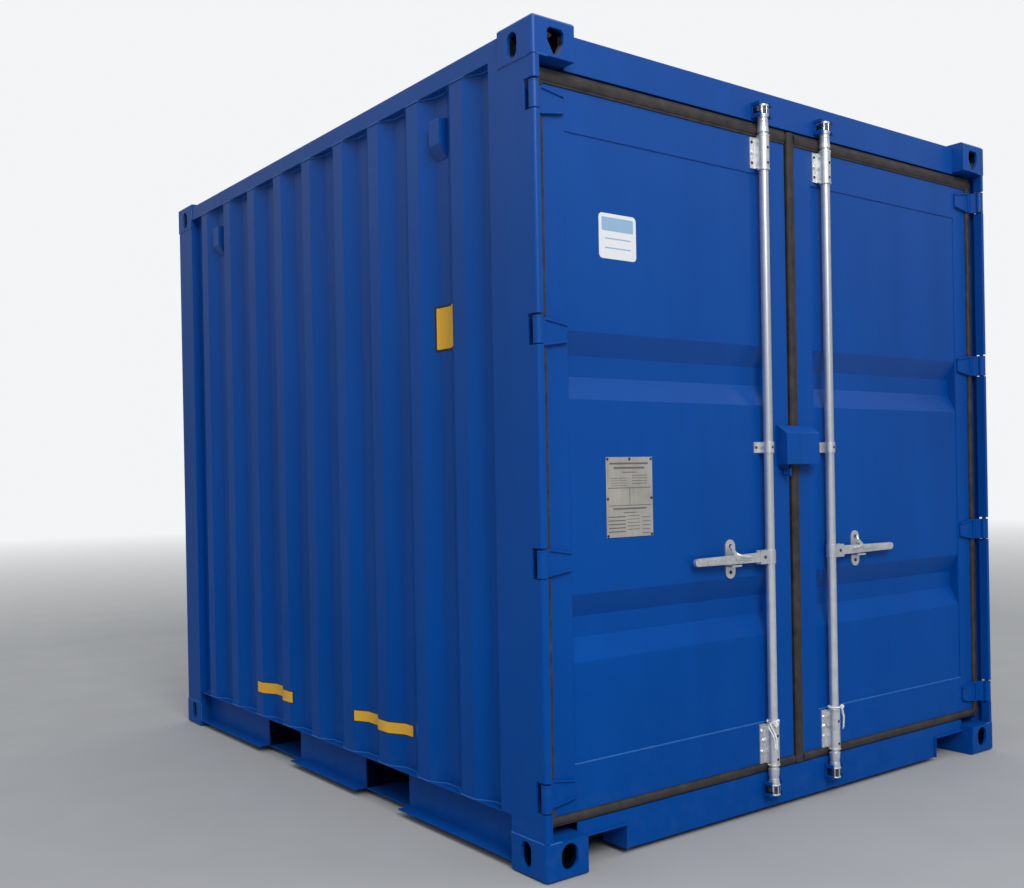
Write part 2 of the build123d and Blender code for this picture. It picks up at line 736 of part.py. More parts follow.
def leaf_seal(x0, x1):
    """The seal on the top, hinge and bottom edges of a door leaf, a little proud of its face."""
    y0 = SEAL_FRONT_Y
    y1 = y0 + SEAL_THICKNESS
    low = LEAF_BOTTOM - SEAL_BOTTOM_REACH
    high = LEAF_TOP + SEAL_TOP_REACH
    seal = block(x0, x1 + SEAL_SIDE_REACH, y0, y1, low, high)
    seal += block(x0, x1 + SEAL_LEG, y0, LEAF_BACK_Y, LEAF_BOTTOM - SEAL_LEG, LEAF_TOP + SEAL_LEG)
    seal -= block(x0 - 1, x1, y0 - 1, LEAF_BACK_Y + 1, LEAF_BOTTOM, LEAF_TOP)
    for z in HINGE_PLACES:
        below = z - KNUCKLE_HEIGHT / 2 - HINGE_GAP_BELOW
        above = z + KNUCKLE_HEIGHT / 2 + HINGE_GAP_ABOVE
        seal -= block(x1, x1 + SEAL_SIDE_REACH + 1, y0 - 1, LEAF_FRONT_Y, below, above)
    return seal


def middle_strip():
    """The seal strip on the middle edge of the right door."""
    low = LEAF_BOTTOM - SEAL_BOTTOM_REACH
    high = LEAF_TOP + SEAL_TOP_REACH
    y1 = SEAL_FRONT_Y + MIDDLE_STRIP_DEPTH
    return block(STRIP_EDGE, RIGHT_MIDDLE_EDGE, SEAL_FRONT_Y, y1, low, high)


def hinge_blade(z):
    """One hinge of the right door: a knuckle on the pin and a ribbed blade that tapers onto the leaf."""
    half = KNUCKLE_HEIGHT / 2
    end = BLADE_END_HEIGHT / 2
    y1 = LEAF_FRONT_Y
    root = LEAF_EDGE + BLADE_ROOT
    tip = root - BLADE_LENGTH
    rib_y = y1 - BLADE_RIB_DEPTH
    outline = [(root, z - half), (root, z + half), (tip, z + end), (tip, z - end)]
    blade = along_y(outline, y1 - BLADE_WEB, y1)
    for side in (-1, 1):
        inner_root = half - BLADE_RIB
        inner_tip = end - BLADE_RIB
        rib = [
            (root, z + side * half),
            (tip, z + side * end),
            (tip, z + side * inner_tip),
            (root, z + side * inner_root),
        ]
        blade += along_y(rib, rib_y, y1)
    neck = upright(
        [
            (root, y1),
            (root, rib_y),
            (PIN_X - 1.5 * KNUCKLE_RADIUS, rib_y),
            (PIN_X - KNUCKLE_RADIUS + 2, PIN_Y + 4),
            (PIN_X, PIN_Y),
            (PIN_X - 2, PIN_Y + KNUCKLE_RADIUS - 1),
        ],
        z - half,
        z + half,
    )
    knuckle = post_rod(PIN_X, PIN_Y, z - half, z + half, KNUCKLE_RADIUS)
    bore = post_rod(PIN_X, PIN_Y, z - half - 1, z + half + 1, PIN_RADIUS + PIN_CLEARANCE)
    return blade + neck + knuckle - bore


def bar_sleeve(z0, z1):
    """A bearing of the right locking bar: a sleeve and its saddle on a flange plate."""
    y1 = LEAF_FRONT_Y
    low = z0 + SLEEVE_END
    high = z1 - SLEEVE_END
    reach = FLANGE_REACH
    sleeve = post_rod(BAR_PLACE, BAR_Y, z0, z1, SLEEVE_RADIUS)
    plate = block(BAR_PLACE - reach, BAR_PLACE + reach, y1 - FLANGE_THICKNESS, y1, low, high)
    saddle = block(BAR_PLACE - SLEEVE_RADIUS, BAR_PLACE + SLEEVE_RADIUS, BAR_Y, y1, low, high)
    bore = post_rod(BAR_PLACE, BAR_Y, z0 - 1, z1 + 1, BAR_RADIUS + BAR_CLEARANCE)
    return sleeve + plate + saddle - bore


def middle_bracket():
    """The strap that steadies the right locking bar at mid height."""
    z0 = BRACKET_MIDDLE - BRACKET_HEIGHT / 2
    z1 = BRACKET_MIDDLE + BRACKET_HEIGHT / 2
    y1 = PANEL_FACE_Y
    inner = BAR_RADIUS + BAR_CLEARANCE
    outer = inner + BRACKET_WALL
    reach = FLANGE_REACH
    strap = post_rod(BAR_PLACE, BAR_Y, z0, z1, outer)
    strap += block(BAR_PLACE - outer, BAR_PLACE + outer, BAR_Y, y1, z0, z1)
    strap += block(BAR_PLACE - reach, BAR_PLACE + reach, y1 - BRACKET_WALL, y1, z0, z1)
    return strap - post_rod(BAR_PLACE, BAR_Y, z0 - 1, z1 + 1, inner)


def cam_head(z, sleeve_end):
    """The head at one end of the right bar, with its lobe and the collar beside the sleeve."""
    side = 1 if z > sleeve_end else -1
    start = sleeve_end + side * COLLAR_GAP
    end = z - side * COLLAR_END
    collar = post_rod(BAR_PLACE, BAR_Y, min(start, end), max(start, end), COLLAR_RADIUS)
    low, high = sorted((z - side * HEAD_INNER, z + side * HEAD_OUTER))
    head = post_rod(BAR_PLACE, BAR_Y, low, high, HEAD_RADIUS)
    reach = BAR_PLACE + CAM_LOBE
    nose = CAM_LOBE / 4
    outline = [
        (BAR_PLACE, BAR_Y - BAR_RADIUS),
        (reach - nose, BAR_Y - nose),
        (reach, BAR_Y - nose / 2),
        (reach, BAR_Y + nose),
        (BAR_PLACE, BAR_Y + BAR_RADIUS),
    ]
    return collar + head + upright(outline, z - CAM_HEIGHT / 2, z + CAM_HEIGHT / 2)


def locking_bar():
    """The right locking bar: a closed tube with a cam head at each end, the handle's hub and its rivet."""
    z_low = BOTTOM_CAM - HEAD_OUTER
    z_high = TOP_CAM + HEAD_OUTER
    z0 = HANDLE_HEIGHT - HUB_HEIGHT / 2
    z1 = HANDLE_HEIGHT + HUB_HEIGHT / 2
    gap = HANDLE_THICKNESS / 2 + BAR_CLEARANCE
    x1 = BAR_PLACE + BAR_RADIUS + HUB_REACH
    bar = post_rod(BAR_PLACE, BAR_Y, z_low, z_high, BAR_RADIUS)
    bar += cam_head(TOP_CAM, TOP_SLEEVE[1])
    bar += cam_head(BOTTOM_CAM, BOTTOM_SLEEVE[0])
    bar += post_rod(BAR_PLACE, BAR_Y, z0, z1, BAR_RADIUS + HUB_WALL)
    for side in (-1, 1):
        bar += block(BAR_PLACE, x1, BAR_Y + side * gap, BAR_Y + side * (gap + HUB_EAR), z0, z1)
    reach = gap + HUB_EAR
    return bar + cross_rod(RIVET_X, BAR_Y - reach, BAR_Y + reach, HANDLE_HEIGHT, RIVET_RADIUS)


def handle():
    """The right handle: a tapered bar with a round eye on the rivet and a rounded tip."""
    x0 = RIVET_X
    x1 = x0 + HANDLE_LENGTH
    z = HANDLE_HEIGHT
    t = HANDLE_THICKNESS / 2
    root = HANDLE_DEPTH / 2
    tip = HANDLE_TIP_DEPTH / 2
    outline = [(x0, z - root), (x1, z - tip), (x1, z + tip), (x0, z + root)]
    shape = along_y(outline, BAR_Y - t, BAR_Y + t)
    shape += cross_rod(x0, BAR_Y - t, BAR_Y + t, z, root)
    shape += cross_rod(x1, BAR_Y - t, BAR_Y + t, z, tip)
    return shape - cross_rod(x0, BAR_Y - t - 1, BAR_Y + t + 1, z, RIVET_RADIUS + PIN_CLEARANCE)


def handle_catch(route):
    """The flat catch that lies on the front of the right handle, along three points with a mitred bend."""
    a, b, c = [Vector(BAR_PLACE + x, HANDLE_HEIGHT + z) for x, z in route]
    first = (b - a).normalized()
    second = (c - b).normalized()
    half = CATCH_WIDTH / 2
    out_a = Vector(-first.Y, first.X) * half
    out_c = Vector(-second.Y, second.X) * half
    out_b = (out_a + out_c) / (1 + first.dot(second))
    corners = [a + out_a, b + out_b, c + out_c, c - out_c, b - out_b, a - out_a]
    y1 = BAR_Y - HANDLE_THICKNESS / 2
    return along_y([(point.X, point.Y) for point in corners], y1 - CATCH_THICKNESS, y1)


def handle_retainer():
    """The plate that the right handle rests on, with a ledge under the handle."""
    x = BAR_PLACE + RETAINER_PLACE
    y1 = PANEL_FACE_Y
    half = RETAINER_WIDTH / 2
    plane = Plane((x, y1, HANDLE_HEIGHT), x_dir=(0, 0, 1), z_dir=(0, -1, 0))
    plate = extrude(plane * SlotOverall(RETAINER_HEIGHT, RETAINER_WIDTH), RETAINER_THICKNESS)
    top = HANDLE_HEIGHT - LEDGE_DROP
    front = BAR_Y - HANDLE_THICKNESS / 2
    return plate + block(x - half, x + half, front, y1, top - LEDGE_THICKNESS, top)


def lock_box(open_x, leaf_x, end_x):
    """One half of the hood over the padlock: open at open_x, and standing on the leaf from leaf_x on."""
    y1 = SEAL_FRONT_Y - LOCK_BOX_CLEARANCE
    y0 = LEAF_FRONT_Y - LOCK_BOX_DEPTH
    t = LOCK_BOX_PLATE
    low = LOCK_BOX_BOTTOM
    high = LOCK_BOX_TOP
    outline = [(y1, low), (y0, low), (y0, LOCK_BOX_FRONT_TOP), (y1, high)]
    inner = [(y1 + 1, low - 1), (y0 + t, low - 1), (y0 + t, LOCK_BOX_FRONT_TOP - t), (y1 + 1, high - t)]
    shell = along_x(outline, open_x, end_x) - along_x(inner, open_x - 1, end_x - t)
    foot = block(leaf_x, end_x, y1, LEAF_FRONT_Y, low, high)
    foot -= block(leaf_x - 1, end_x - t, y1 - 1, LEAF_FRONT_Y + 1, low - 1, high - t)
    return shell + foot


def lock_staple():
    """The eye on the left door that the padlock passes through."""
    y1 = LEAF_FRONT_Y
    t = STAPLE_BAR
    z0 = LOCK_BOX_BOTTOM - 42
    z1 = z0 + 4 * t
    eye = block(STAPLE_PLACE - t / 2, STAPLE_PLACE + t / 2, y1 - 5 * t, y1, z0, z1)
    return eye - block(STAPLE_PLACE - t, STAPLE_PLACE + t, y1 - 4 * t, y1 - t, z0 + t, z1 - t)


def rope(name, points):
    """A limp rope along its route, with an arc in each bend and six flat sides."""
    route = [Vector(*point) for point in points]
    radii = []
    for before, here, after in zip(route, route[1:], route[2:]):
        shorter = min((here - before).length, (after - here).length)
        half_turn = (here - before).get_angle(after - here) / 2
        radii.append(0.45 * shorter / tan(radians(half_turn)))
    print(name, "bend radii:", [round(radius, 1) for radius in radii])
    path = FilletPolyline(*route, radius=radii)
    start = Plane(origin=path @ 0, z_dir=path % 0)
    return sweep(start * RegularPolygon(ROPE_RADIUS, ROPE_SIDES), path=path)


def data_plate():
    """The bare metal plate riveted to the left door."""
    left = DATA_PLATE_FROM_EDGE - LEAF_EDGE
    right = left + DATA_PLATE_WIDTH
    y0 = PANEL_FACE_Y - DATA_PLATE_THICKNESS
    return block(left, right, y0, PANEL_FACE_Y, DATA_PLATE_BOTTOM, DATA_PLATE_TOP)


def save_frame():
    """Everything that stands still."""
    save_castings()
    pair = {
        "door_post": door_post(),
        "blind_post": blind_post(),
        "top_rail": top_rail(),
        "bottom_rail": bottom_rail(),
        "side_wall": side_wall(),
    }
    for name, shape in pair.items():
        save(f"right_{name}", shape)
        save(f"left_{name}", mirrored(shape))
    save("door_header", door_header())
    save("door_sill", door_sill())
    save("blind_end_rails", *blind_end_rails())
    save("blind_end_wall", blind_end_wall())
    save("roof", roof())
    save("floor", floor_boards())
    save("cross_members", *cross_members())
    pockets = (-FORK_SPACING / 2, FORK_SPACING / 2)
    save("fork_pockets", *[fork_pocket(place) for place in pockets])
    straps = [fork_pocket_strap(place) for place in pockets]
    save("fork_pocket_straps", *straps, *[mirrored(strap) for strap in straps])
    vents = [vent_cover(valley) for valley in VENT_VALLEYS]
    save("vent_covers", *vents, *[mirrored(vent) for vent in vents])
    brackets = [keeper_bracket(z, side) for z in (BOTTOM_CAM, TOP_CAM) for side in (-1, 1)]
    save("cam_keepers", *brackets, *[mirrored(bracket) for bracket in brackets])


def save_door(side, middle_edge, catch_route):
    """One door with its bar and handle; the left one mirrors the right one."""
    turn = mirrored if side == "left" else (lambda shape: shape)
    x0, x1 = middle_edge, LEAF_EDGE
    seal = leaf_seal(x0, x1)
    if side == "right":
        seal += middle_strip()
    save(f"{side}_door_frame", turn(leaf_members(x0, x1)))
    save(f"{side}_door_panel", turn(leaf_panel(x1)))
    save(f"{side}_door_seal", turn(seal))
    save(f"{side}_hinge_blades", *[turn(hinge_blade(z)) for z in HINGE_PLACES])
    sleeves = [bar_sleeve(*TOP_SLEEVE), middle_bracket(), bar_sleeve(*BOTTOM_SLEEVE)]
    save(f"{side}_bar_bearings", *[turn(sleeve) for sleeve in sleeves])
    save(f"{side}_handle_retainer", turn(handle_retainer()))
    save(f"{side}_locking_bar", turn(locking_bar()))
    save(f"{side}_handle", turn(handle()))
    save(f"{side}_handle_catch", turn(handle_catch(catch_route)))


os.makedirs("parts", exist_ok=True)
save_frame()
save_door("left", LEFT_MIDDLE_EDGE, LEFT_CATCH)
save_door("right", RIGHT_MIDDLE_EDGE, RIGHT_CATCH)
save("right_lock_box", lock_box(STRIP_EDGE, RIGHT_MIDDLE_EDGE, LOCK_BOX_RIGHT))
save("left_lock_box", mirrored(lock_box(LOCK_BOX_SPLIT - STRIP_EDGE, LEFT_MIDDLE_EDGE, LOCK_BOX_LEFT)))
save("lock_staple", lock_staple())
save("data_plate", data_plate())
save("left_rope", rope("left rope", LEFT_ROPE))
save("right_rope", rope("right rope", RIGHT_ROPE))
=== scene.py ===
import json
import math
import random

import bmesh
import bpy
from mathutils import Matrix, Vector


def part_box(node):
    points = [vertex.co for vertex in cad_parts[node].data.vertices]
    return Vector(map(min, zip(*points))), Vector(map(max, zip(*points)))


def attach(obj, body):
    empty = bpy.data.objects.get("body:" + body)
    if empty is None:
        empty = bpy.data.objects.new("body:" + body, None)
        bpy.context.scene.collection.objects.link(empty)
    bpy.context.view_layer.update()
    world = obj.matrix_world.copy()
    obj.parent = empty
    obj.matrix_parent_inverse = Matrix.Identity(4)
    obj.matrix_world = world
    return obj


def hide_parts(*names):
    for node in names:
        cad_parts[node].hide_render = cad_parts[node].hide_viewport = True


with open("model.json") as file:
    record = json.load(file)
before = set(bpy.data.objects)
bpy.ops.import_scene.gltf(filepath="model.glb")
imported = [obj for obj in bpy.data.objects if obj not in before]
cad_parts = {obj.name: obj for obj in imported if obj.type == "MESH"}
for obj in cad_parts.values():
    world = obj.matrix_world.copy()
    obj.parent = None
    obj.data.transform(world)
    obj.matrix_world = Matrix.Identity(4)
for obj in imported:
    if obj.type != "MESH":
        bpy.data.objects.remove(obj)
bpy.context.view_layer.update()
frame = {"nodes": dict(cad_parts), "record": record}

NODES = frame["nodes"]
SIDES = (("left", -1), ("right", 1))
random.seed(7)

# Colours
BLUE = (0.0012, 0.0690, 0.3380)
BLUE_DEEP = (0.0009, 0.0580, 0.2900)
# Painted shade, for the insides of castings and fork pockets
BLUE_SHADED = (0.001, 0.006, 0.022)
BLUE_DUSTY = (0.05, 0.12, 0.28)
# A lighter blue for beads of weld: a painted highlight
BLUE_BEAD_HIGHLIGHT = (0.050, 0.210, 0.560)
LABEL_YELLOW = (0.80, 0.43, 0.03)
INK = (0.02, 0.02, 0.025)
BACKDROP = (0.90, 0.91, 0.92, 1)

# Directions
FRONT = (0, -1, 0)
UP = (0, 0, 1)

# How far a detail reaches into the surface that it stands on, and the angle above which an edge is sharp
SINK = 0.001
SHARP_ANGLE = 35.0

# Camera, fitted to the corner castings
CAMERA_PLACE = (-3.2102, -4.1062, 1.2254)
CAMERA_AIM = (0.6148, 0.7886, -0.0050)
CAMERA_RIGHT = (0.7885, -0.6148, -0.0182)
CAMERA_LENS = 38.996
CAMERA_SHIFT = (-0.03857, 0.03389)

# Ropes: the routes of the solids, in metres
ROPE_DIAMETER = 0.006
LEFT_ROUTE = [
    (-0.1952, -1.4613, 0.3300),
    (-0.1782, -1.4443, 0.3300),
    (-0.1550, -1.4505, 0.3300),
    (-0.1488, -1.4737, 0.3300),
    (-0.1666, -1.4909, 0.3310),
    (-0.1917, -1.4852, 0.3300),
    (-0.1995, -1.4665, 0.3150),
    (-0.1949, -1.4808, 0.2900),
    (-0.1867, -1.4893, 0.2620),
    (-0.1882, -1.4882, 0.2360),
]
RIGHT_ROUTE = [
    (0.1956, -1.4633, 0.3300),
    (0.1802, -1.4449, 0.3300),
    (0.1566, -1.4491, 0.3300),
    (0.1484, -1.4717, 0.3300),
    (0.1638, -1.4901, 0.3300),
    (0.1879, -1.4893, 0.3300),
    (0.2030, -1.4814, 0.3040),
    (0.2124, -1.4810, 0.2800),
    (0.2104, -1.4795, 0.2570),
]
LEFT_TWIN = [
    (-0.1990, -1.4760, 0.3220),
    (-0.1895, -1.4865, 0.2960),
    (-0.1805, -1.4918, 0.2660),
    (-0.1820, -1.4914, 0.2430),
]
RIGHT_TWIN = [
    (0.1840, -1.4930, 0.3340),
    (0.1985, -1.4870, 0.3120),
    (0.2075, -1.4855, 0.2860),
    (0.2060, -1.4840, 0.2640),
]
LEFT_KNOT = (-0.1840, -1.4925, 0.3190)
RIGHT_KNOT = (0.1855, -1.4930, 0.3310)
KNOT_SIZE = 0.0030
STRANDS = 3
STRAND_TWIST = 0.016
YARNS = 14

# Locking bar, this far from the middle of the container, and its bearings
BAR_X = 0.172
BAR_Y = -1.4675
FLANGE_Y = -1.4460
SLEEVE_RADIUS = 0.0215
SLEEVES = ((0.170, 0.326), (2.287, 2.413))
SLEEVE_RING_INSET = 0.0035
BRACKET_FACE_Y = -1.4440
BRACKET_Z = 1.3035
BRACKET_RADIUS = 0.0205

# Bolts, screws and open holes, in a column on each side of the bar
COLUMN_FROM_BAR = 0.036
LOW_BOLTS_Z = (0.221, 0.294)
HIGH_BOLT_Z = 2.351
HIGH_HOLES_Z = (2.314, 2.388)
STRAY_BOLT_Z = 0.259
STRAY_BOLT_SHIFT = {"left": 0.010, "right": 0.003}
BOLT_FROM_SLEEVE_FOOT = 0.051
BOLT_FROM_SLEEVE_HEAD = 0.032
SCREW_FROM_SLEEVE_END = 0.024
FLANGE_BOLT = 0.0070
BRACKET_BOLT = 0.0058
HOLE_SINK = 0.0012
HOLE_SIDES = 14

# Collars on the bar, by their distance from the end of a sleeve
FLARE_START = 0.009
NECK_RING = 0.0505
HEAD_RINGS = (0.068, 0.1015)
HEAD_RADIUS = 0.020
BAND_MIDDLE = 0.0848
BAND_HEIGHT = 0.028
HEAD_RIB_ANGLES = (-55, -5, 62)
CAM_FROM_BRACKET = 1.175

# Turned profiles, as (radius, height) points
FLANGE_HOLE = ((0.0052, 0), (0.0052, 0.0014), (0, 0.0016))
SLEEVE_HOLE = ((0.0050, 0), (0.0050, 0.0016), (0.0032, 0.0019), (0, 0.0019))
EAR_HOLE = ((0.0045, 0), (0.0045, 0.0014), (0, 0.0016))
BRACKET_HOLE = ((0.0046, 0), (0.0046, 0.0016), (0, 0.0018))
HEAD_RIB = ((0, 0), (0.0024, 0), (0.0024, BAND_HEIGHT), (0, BAND_HEIGHT))
FLARE = (
    (0.0186, 0),
    (0.0209, 0),
    (0.0209, 0.004),
    (0.0196, 0.012),
    (0.0192, 0.020),
    (0.0186, 0.020),
    (0.0186, 0),
)

# Handle, with its distances across taken from the bar outwards
HANDLE_Z = 0.915
HANDLE_FACE_Y = -1.4735
LEVER_RIBS = 15
FIRST_LEVER_RIB = 0.240
LEVER_RIB_PITCH = 0.0075
LEVER_RIB_HALF_WIDE = 0.0016
LEVER_RIB_HALF_TALL = 0.009
CATCH_RADIUS = 0.0058
CATCH_TONGUE = (
    (0.180, -1.4500, 0.963),
    (0.179, -1.4525, 0.950),
    (0.177, -1.4620, 0.938),
    (0.172, -1.4740, 0.930),
    (0.160, -1.4810, 0.925),
    (0.140, -1.4810, 0.922),
    (0.118, -1.4805, 0.921),
)
HUB_FROM_BAR = 0.039
HUB_HALF_DEPTH = 0.0125
RETAINER_FROM_BAR = 0.178
RETAINER_Y = -1.4430
RETAINER_BOLT_DROP = 0.046

# Hinges
HINGES = 4
HINGE_PIN_X = 1.201
HINGE_PIN_Y = -1.4775
KNUCKLE_HEIGHT = 0.084

# Castings: the hollow as distances from the middle, across, along and up; inside it the paint is painted
# shade
HEIGHT = 2.591
CASTING_LENGTH = 0.178
CASTING_INSIDE_LOW = (1.068, 1.328, 1.184)
CASTING_INSIDE_HIGH = (1.2075, 1.4845, 1.290)

# Where painted shade starts and where it is full in the fork pockets, as distances across from the middle
POCKET_SHADE_START_X = 1.216
POCKET_SHADE_FULL_X = 1.190

# Beads of weld, and how far they stop short of corners
WELD_STEP = 0.007
POST_FRONT_CORNER = 0.013
POST_BACK_CORNER = 0.016
TOP_RAIL_LIFT = 0.040

# Flat pieces on the surfaces
STICKER = (-0.923, -0.765, 1.905, 2.049)
STICKER_THICK = 0.0006
STICKER_MARGIN = 0.012
HEIGHT_LABEL = (-1.035, -0.881, 1.644, 1.800)
HEIGHT_LABEL_BORDER = 0.008
LOW_LABELS = ((-0.677, -0.281, 0.288, 0.335), (0.264, 0.615, 0.272, 0.325))
LOW_LABEL_BORDER = 0.004
LABEL_LIFT = 0.0008
PLATE_LINE_THICK = 0.0006


# Node helpers

class Nodes:
    """A material's node tree, with short calls for the nodes used here."""

    def __init__(self, name):
        self.material = bpy.data.materials.new(name)
        self.material.use_nodes = True
        self.tree = self.material.node_tree
        self.tree.nodes.clear()
        self.out = self.new("ShaderNodeOutputMaterial")
        self.position = self.new("ShaderNodeTexCoord").outputs["Object"]

    def new(self, kind, **settings):
        """Adds a node."""
        node = self.tree.nodes.new(kind)
        for key, value in settings.items():
            setattr(node, key, value)
        return node

    def put(self, socket, value):
        """Links or sets a socket; a colour may leave out its alpha."""
        if isinstance(value, bpy.types.NodeSocket):
            self.tree.links.new(value, socket)
        elif hasattr(value, "__len__") and len(value) == 3 and len(socket.default_value) == 4:
            socket.default_value = (*value, 1.0)
        else:
            socket.default_value = value

    def scaled(self, x, y, z):
        """The place on the object, stretched along each axis."""
        node = self.new("ShaderNodeMapping")
        self.put(node.inputs["Vector"], self.position)
        node.inputs["Scale"].default_value = (x, y, z)
        return node.outputs["Vector"]

    def noise(self, scale, detail=3.0, rough=0.5, at=None, distortion=0.0):
        node = self.new("ShaderNodeTexNoise")
        self.put(node.inputs["Vector"], at or self.position)
        node.inputs["Scale"].default_value = scale
        node.inputs["Detail"].default_value = detail
        node.inputs["Roughness"].default_value = rough
        node.inputs["Distortion"].default_value = distortion
        return node.outputs["Fac"]

    def cells(self, scale):
        """A pattern of cells, each with its own colour."""
        node = self.new("ShaderNodeTexVoronoi")
        self.put(node.inputs["Vector"], self.position)
        node.inputs["Scale"].default_value = scale
        return node.outputs["Color"]

    def ramp(self, fac, *stops):
        """Each stop is (position, colour or grey)."""
        node = self.new("ShaderNodeValToRGB")
        self.put(node.inputs["Fac"], fac)
        points = node.color_ramp.elements
        while len(points) < len(stops):
            points.new(0.5)
        for point, (place, colour) in zip(points, stops):
            point.position = place
            grey = not hasattr(colour, "__len__")
            point.color = (colour, colour, colour, 1) if grey else (*colour, 1)
        return node.outputs["Color"]

    def span(self, value, from_low, from_high, to_low=0.0, to_high=1.0):
        """A value carried from one range to another and held within it."""
        node = self.new("ShaderNodeMapRange")
        self.put(node.inputs["Value"], value)
        node.inputs["From Min"].default_value = from_low
        node.inputs["From Max"].default_value = from_high
        node.inputs["To Min"].default_value = to_low
        node.inputs["To Max"].default_value = to_high
        return node.outputs["Result"]

    def math(self, operation, a, b=0.0, clamp=False):
        node = self.new("ShaderNodeMath", operation=operation, use_clamp=clamp)
        self.put(node.inputs[0], a)
        self.put(node.inputs[1], b)
        return node.outputs["Value"]

    def mix(self, fac, a, b):
        node = self.new("ShaderNodeMix", data_type="RGBA")
        self.put(node.inputs["Factor"], fac)
        self.put(node.inputs["A"], a)
        self.put(node.inputs["B"], b)
        return node.outputs["Result"]

    def xyz(self):
        node = self.new("ShaderNodeSeparateXYZ")
        self.put(node.inputs[0], self.position)
        return node.outputs

    def soft_edges(self, radius):
        """The normal with its sharp edges eased."""
        node = self.new("ShaderNodeBevel", samples=4)
        node.inputs["Radius"].default_value = radius
        return node.outputs["Normal"]

    def bump(self, height, strength, distance, normal=None):
        node = self.new("ShaderNodeBump")
        self.put(node.inputs["Height"], height)
        node.inputs["Strength"].default_value = strength
        node.inputs["Distance"].default_value = distance
        if normal is not None:
            self.put(node.inputs["Normal"], normal)
        return node.outputs["Normal"]

    def surface(self, **inputs):
        """The Principled shader, with its sockets named with underscores."""
        shader = self.new("ShaderNodeBsdfPrincipled")
        for key, value in inputs.items():
            self.put(shader.inputs[key.replace("_", " ")], value)
        self.tree.links.new(shader.outputs["BSDF"], self.out.inputs["Surface"])
        return self.material


# Materials

def blue_paint(name="blue_paint", casting=False, pocket=False, bead=False):
    """Sprayed marine paint: slow waves, fine orange peel, faint dust low down.

    It is painted shade, near black, inside a casting or a fork pocket, and has a painted highlight, a
    lighter blue, on a bead of weld. It reflects more the higher it stands, a painted sheen towards the top.
    """
    n = Nodes(name)
    cloud = n.noise(1.1, 3.0, 0.5)
    runs = n.noise(1.0, 4.0, 0.55, at=n.scaled(7.0, 7.0, 0.5))
    tone = n.math("ADD", n.math("MULTIPLY", cloud, 0.55), n.math("MULTIPLY", runs, 0.45))
    colour = n.ramp(tone, (0.36, BLUE_DEEP), (0.62, BLUE))
    low = n.span(n.xyz()[2], 0.50, 0.02)
    dust = n.span(n.noise(18.0, 6.0, 0.62), 0.50, 0.78)
    dusty = n.math("MULTIPLY", dust, n.math("MULTIPLY", low, 0.22), clamp=True)
    colour = n.mix(dusty, colour, BLUE_DUSTY)
    # Inside a casting the colour turns to painted shade, near black.
    if casting:
        inside = 1.0
        x, y, z = n.xyz()
        places = (x, y, n.math("SUBTRACT", z, HEIGHT / 2))
        for value, least, most in zip(places, CASTING_INSIDE_LOW, CASTING_INSIDE_HIGH):
            from_middle = n.math("ABSOLUTE", value)
            beyond = n.math("GREATER_THAN", from_middle, least)
            within = n.math("LESS_THAN", from_middle, most)
            inside = n.math("MULTIPLY", inside, n.math("MULTIPLY", beyond, within))
        colour = n.mix(inside, colour, BLUE_SHADED)
    # Deep in a fork pocket the colour turns to painted shade, near black.
    if pocket:
        pocket_shade = n.span(n.math("ABSOLUTE", n.xyz()[0]), POCKET_SHADE_START_X, POCKET_SHADE_FULL_X)
        colour = n.mix(pocket_shade, colour, BLUE_SHADED)
    # A bead of weld is mixed towards a lighter blue: a painted highlight.
    if bead:
        colour = n.mix(0.45, colour, BLUE_BEAD_HIGHLIGHT)
    rough = n.span(n.noise(5.0, 4.0, 0.55), 0.3, 0.7, 0.33, 0.42)
    normal = n.soft_edges(0.0025)
    normal = n.bump(n.noise(1.7, 1.0, 0.4), 0.30, 0.008, normal)
    normal = n.bump(n.noise(380.0, 2.0, 0.4), 0.07, 0.0005, normal)
    # The paint reflects more the higher it stands: a painted sheen towards the top.
    painted_sheen = n.span(n.xyz()[2], 0.6, 2.4, 0.05, 0.34)
    return n.surface(Base_Color=colour, Roughness=rough, Normal=normal, Specular_IOR_Level=painted_sheen)


def zinc(name, pale, dull, spangle_share, least_rough, most_rough):
    """Hot dip zinc: faint crystals and dull patches over a bright coat."""
    n = Nodes(name)
    grey = n.new("ShaderNodeRGBToBW")
    n.put(grey.inputs[0], n.cells(110.0))
    patches = n.noise(22.0, 5.0, 0.62)
    share = n.math("MULTIPLY", grey.outputs[0], spangle_share)
    tone = n.math("ADD", share, n.math("MULTIPLY", patches, 1.0 - spangle_share))
    colour = n.ramp(tone, (0.30, dull), (0.58, pale))
    normal = n.bump(n.noise(170.0, 4.0, 0.6), 0.10, 0.0006, n.soft_edges(0.0012))
    rough = n.span(tone, 0.25, 0.75, most_rough, least_rough)
    return n.surface(Base_Color=colour, Metallic=0.80, Roughness=rough, Normal=normal)


def bright_zinc():
    """The smooth coat of bolts, collars and levers."""
    return zinc("galvanised_bar", (0.84, 0.86, 0.89), (0.72, 0.74, 0.78), 0.15, 0.26, 0.36)


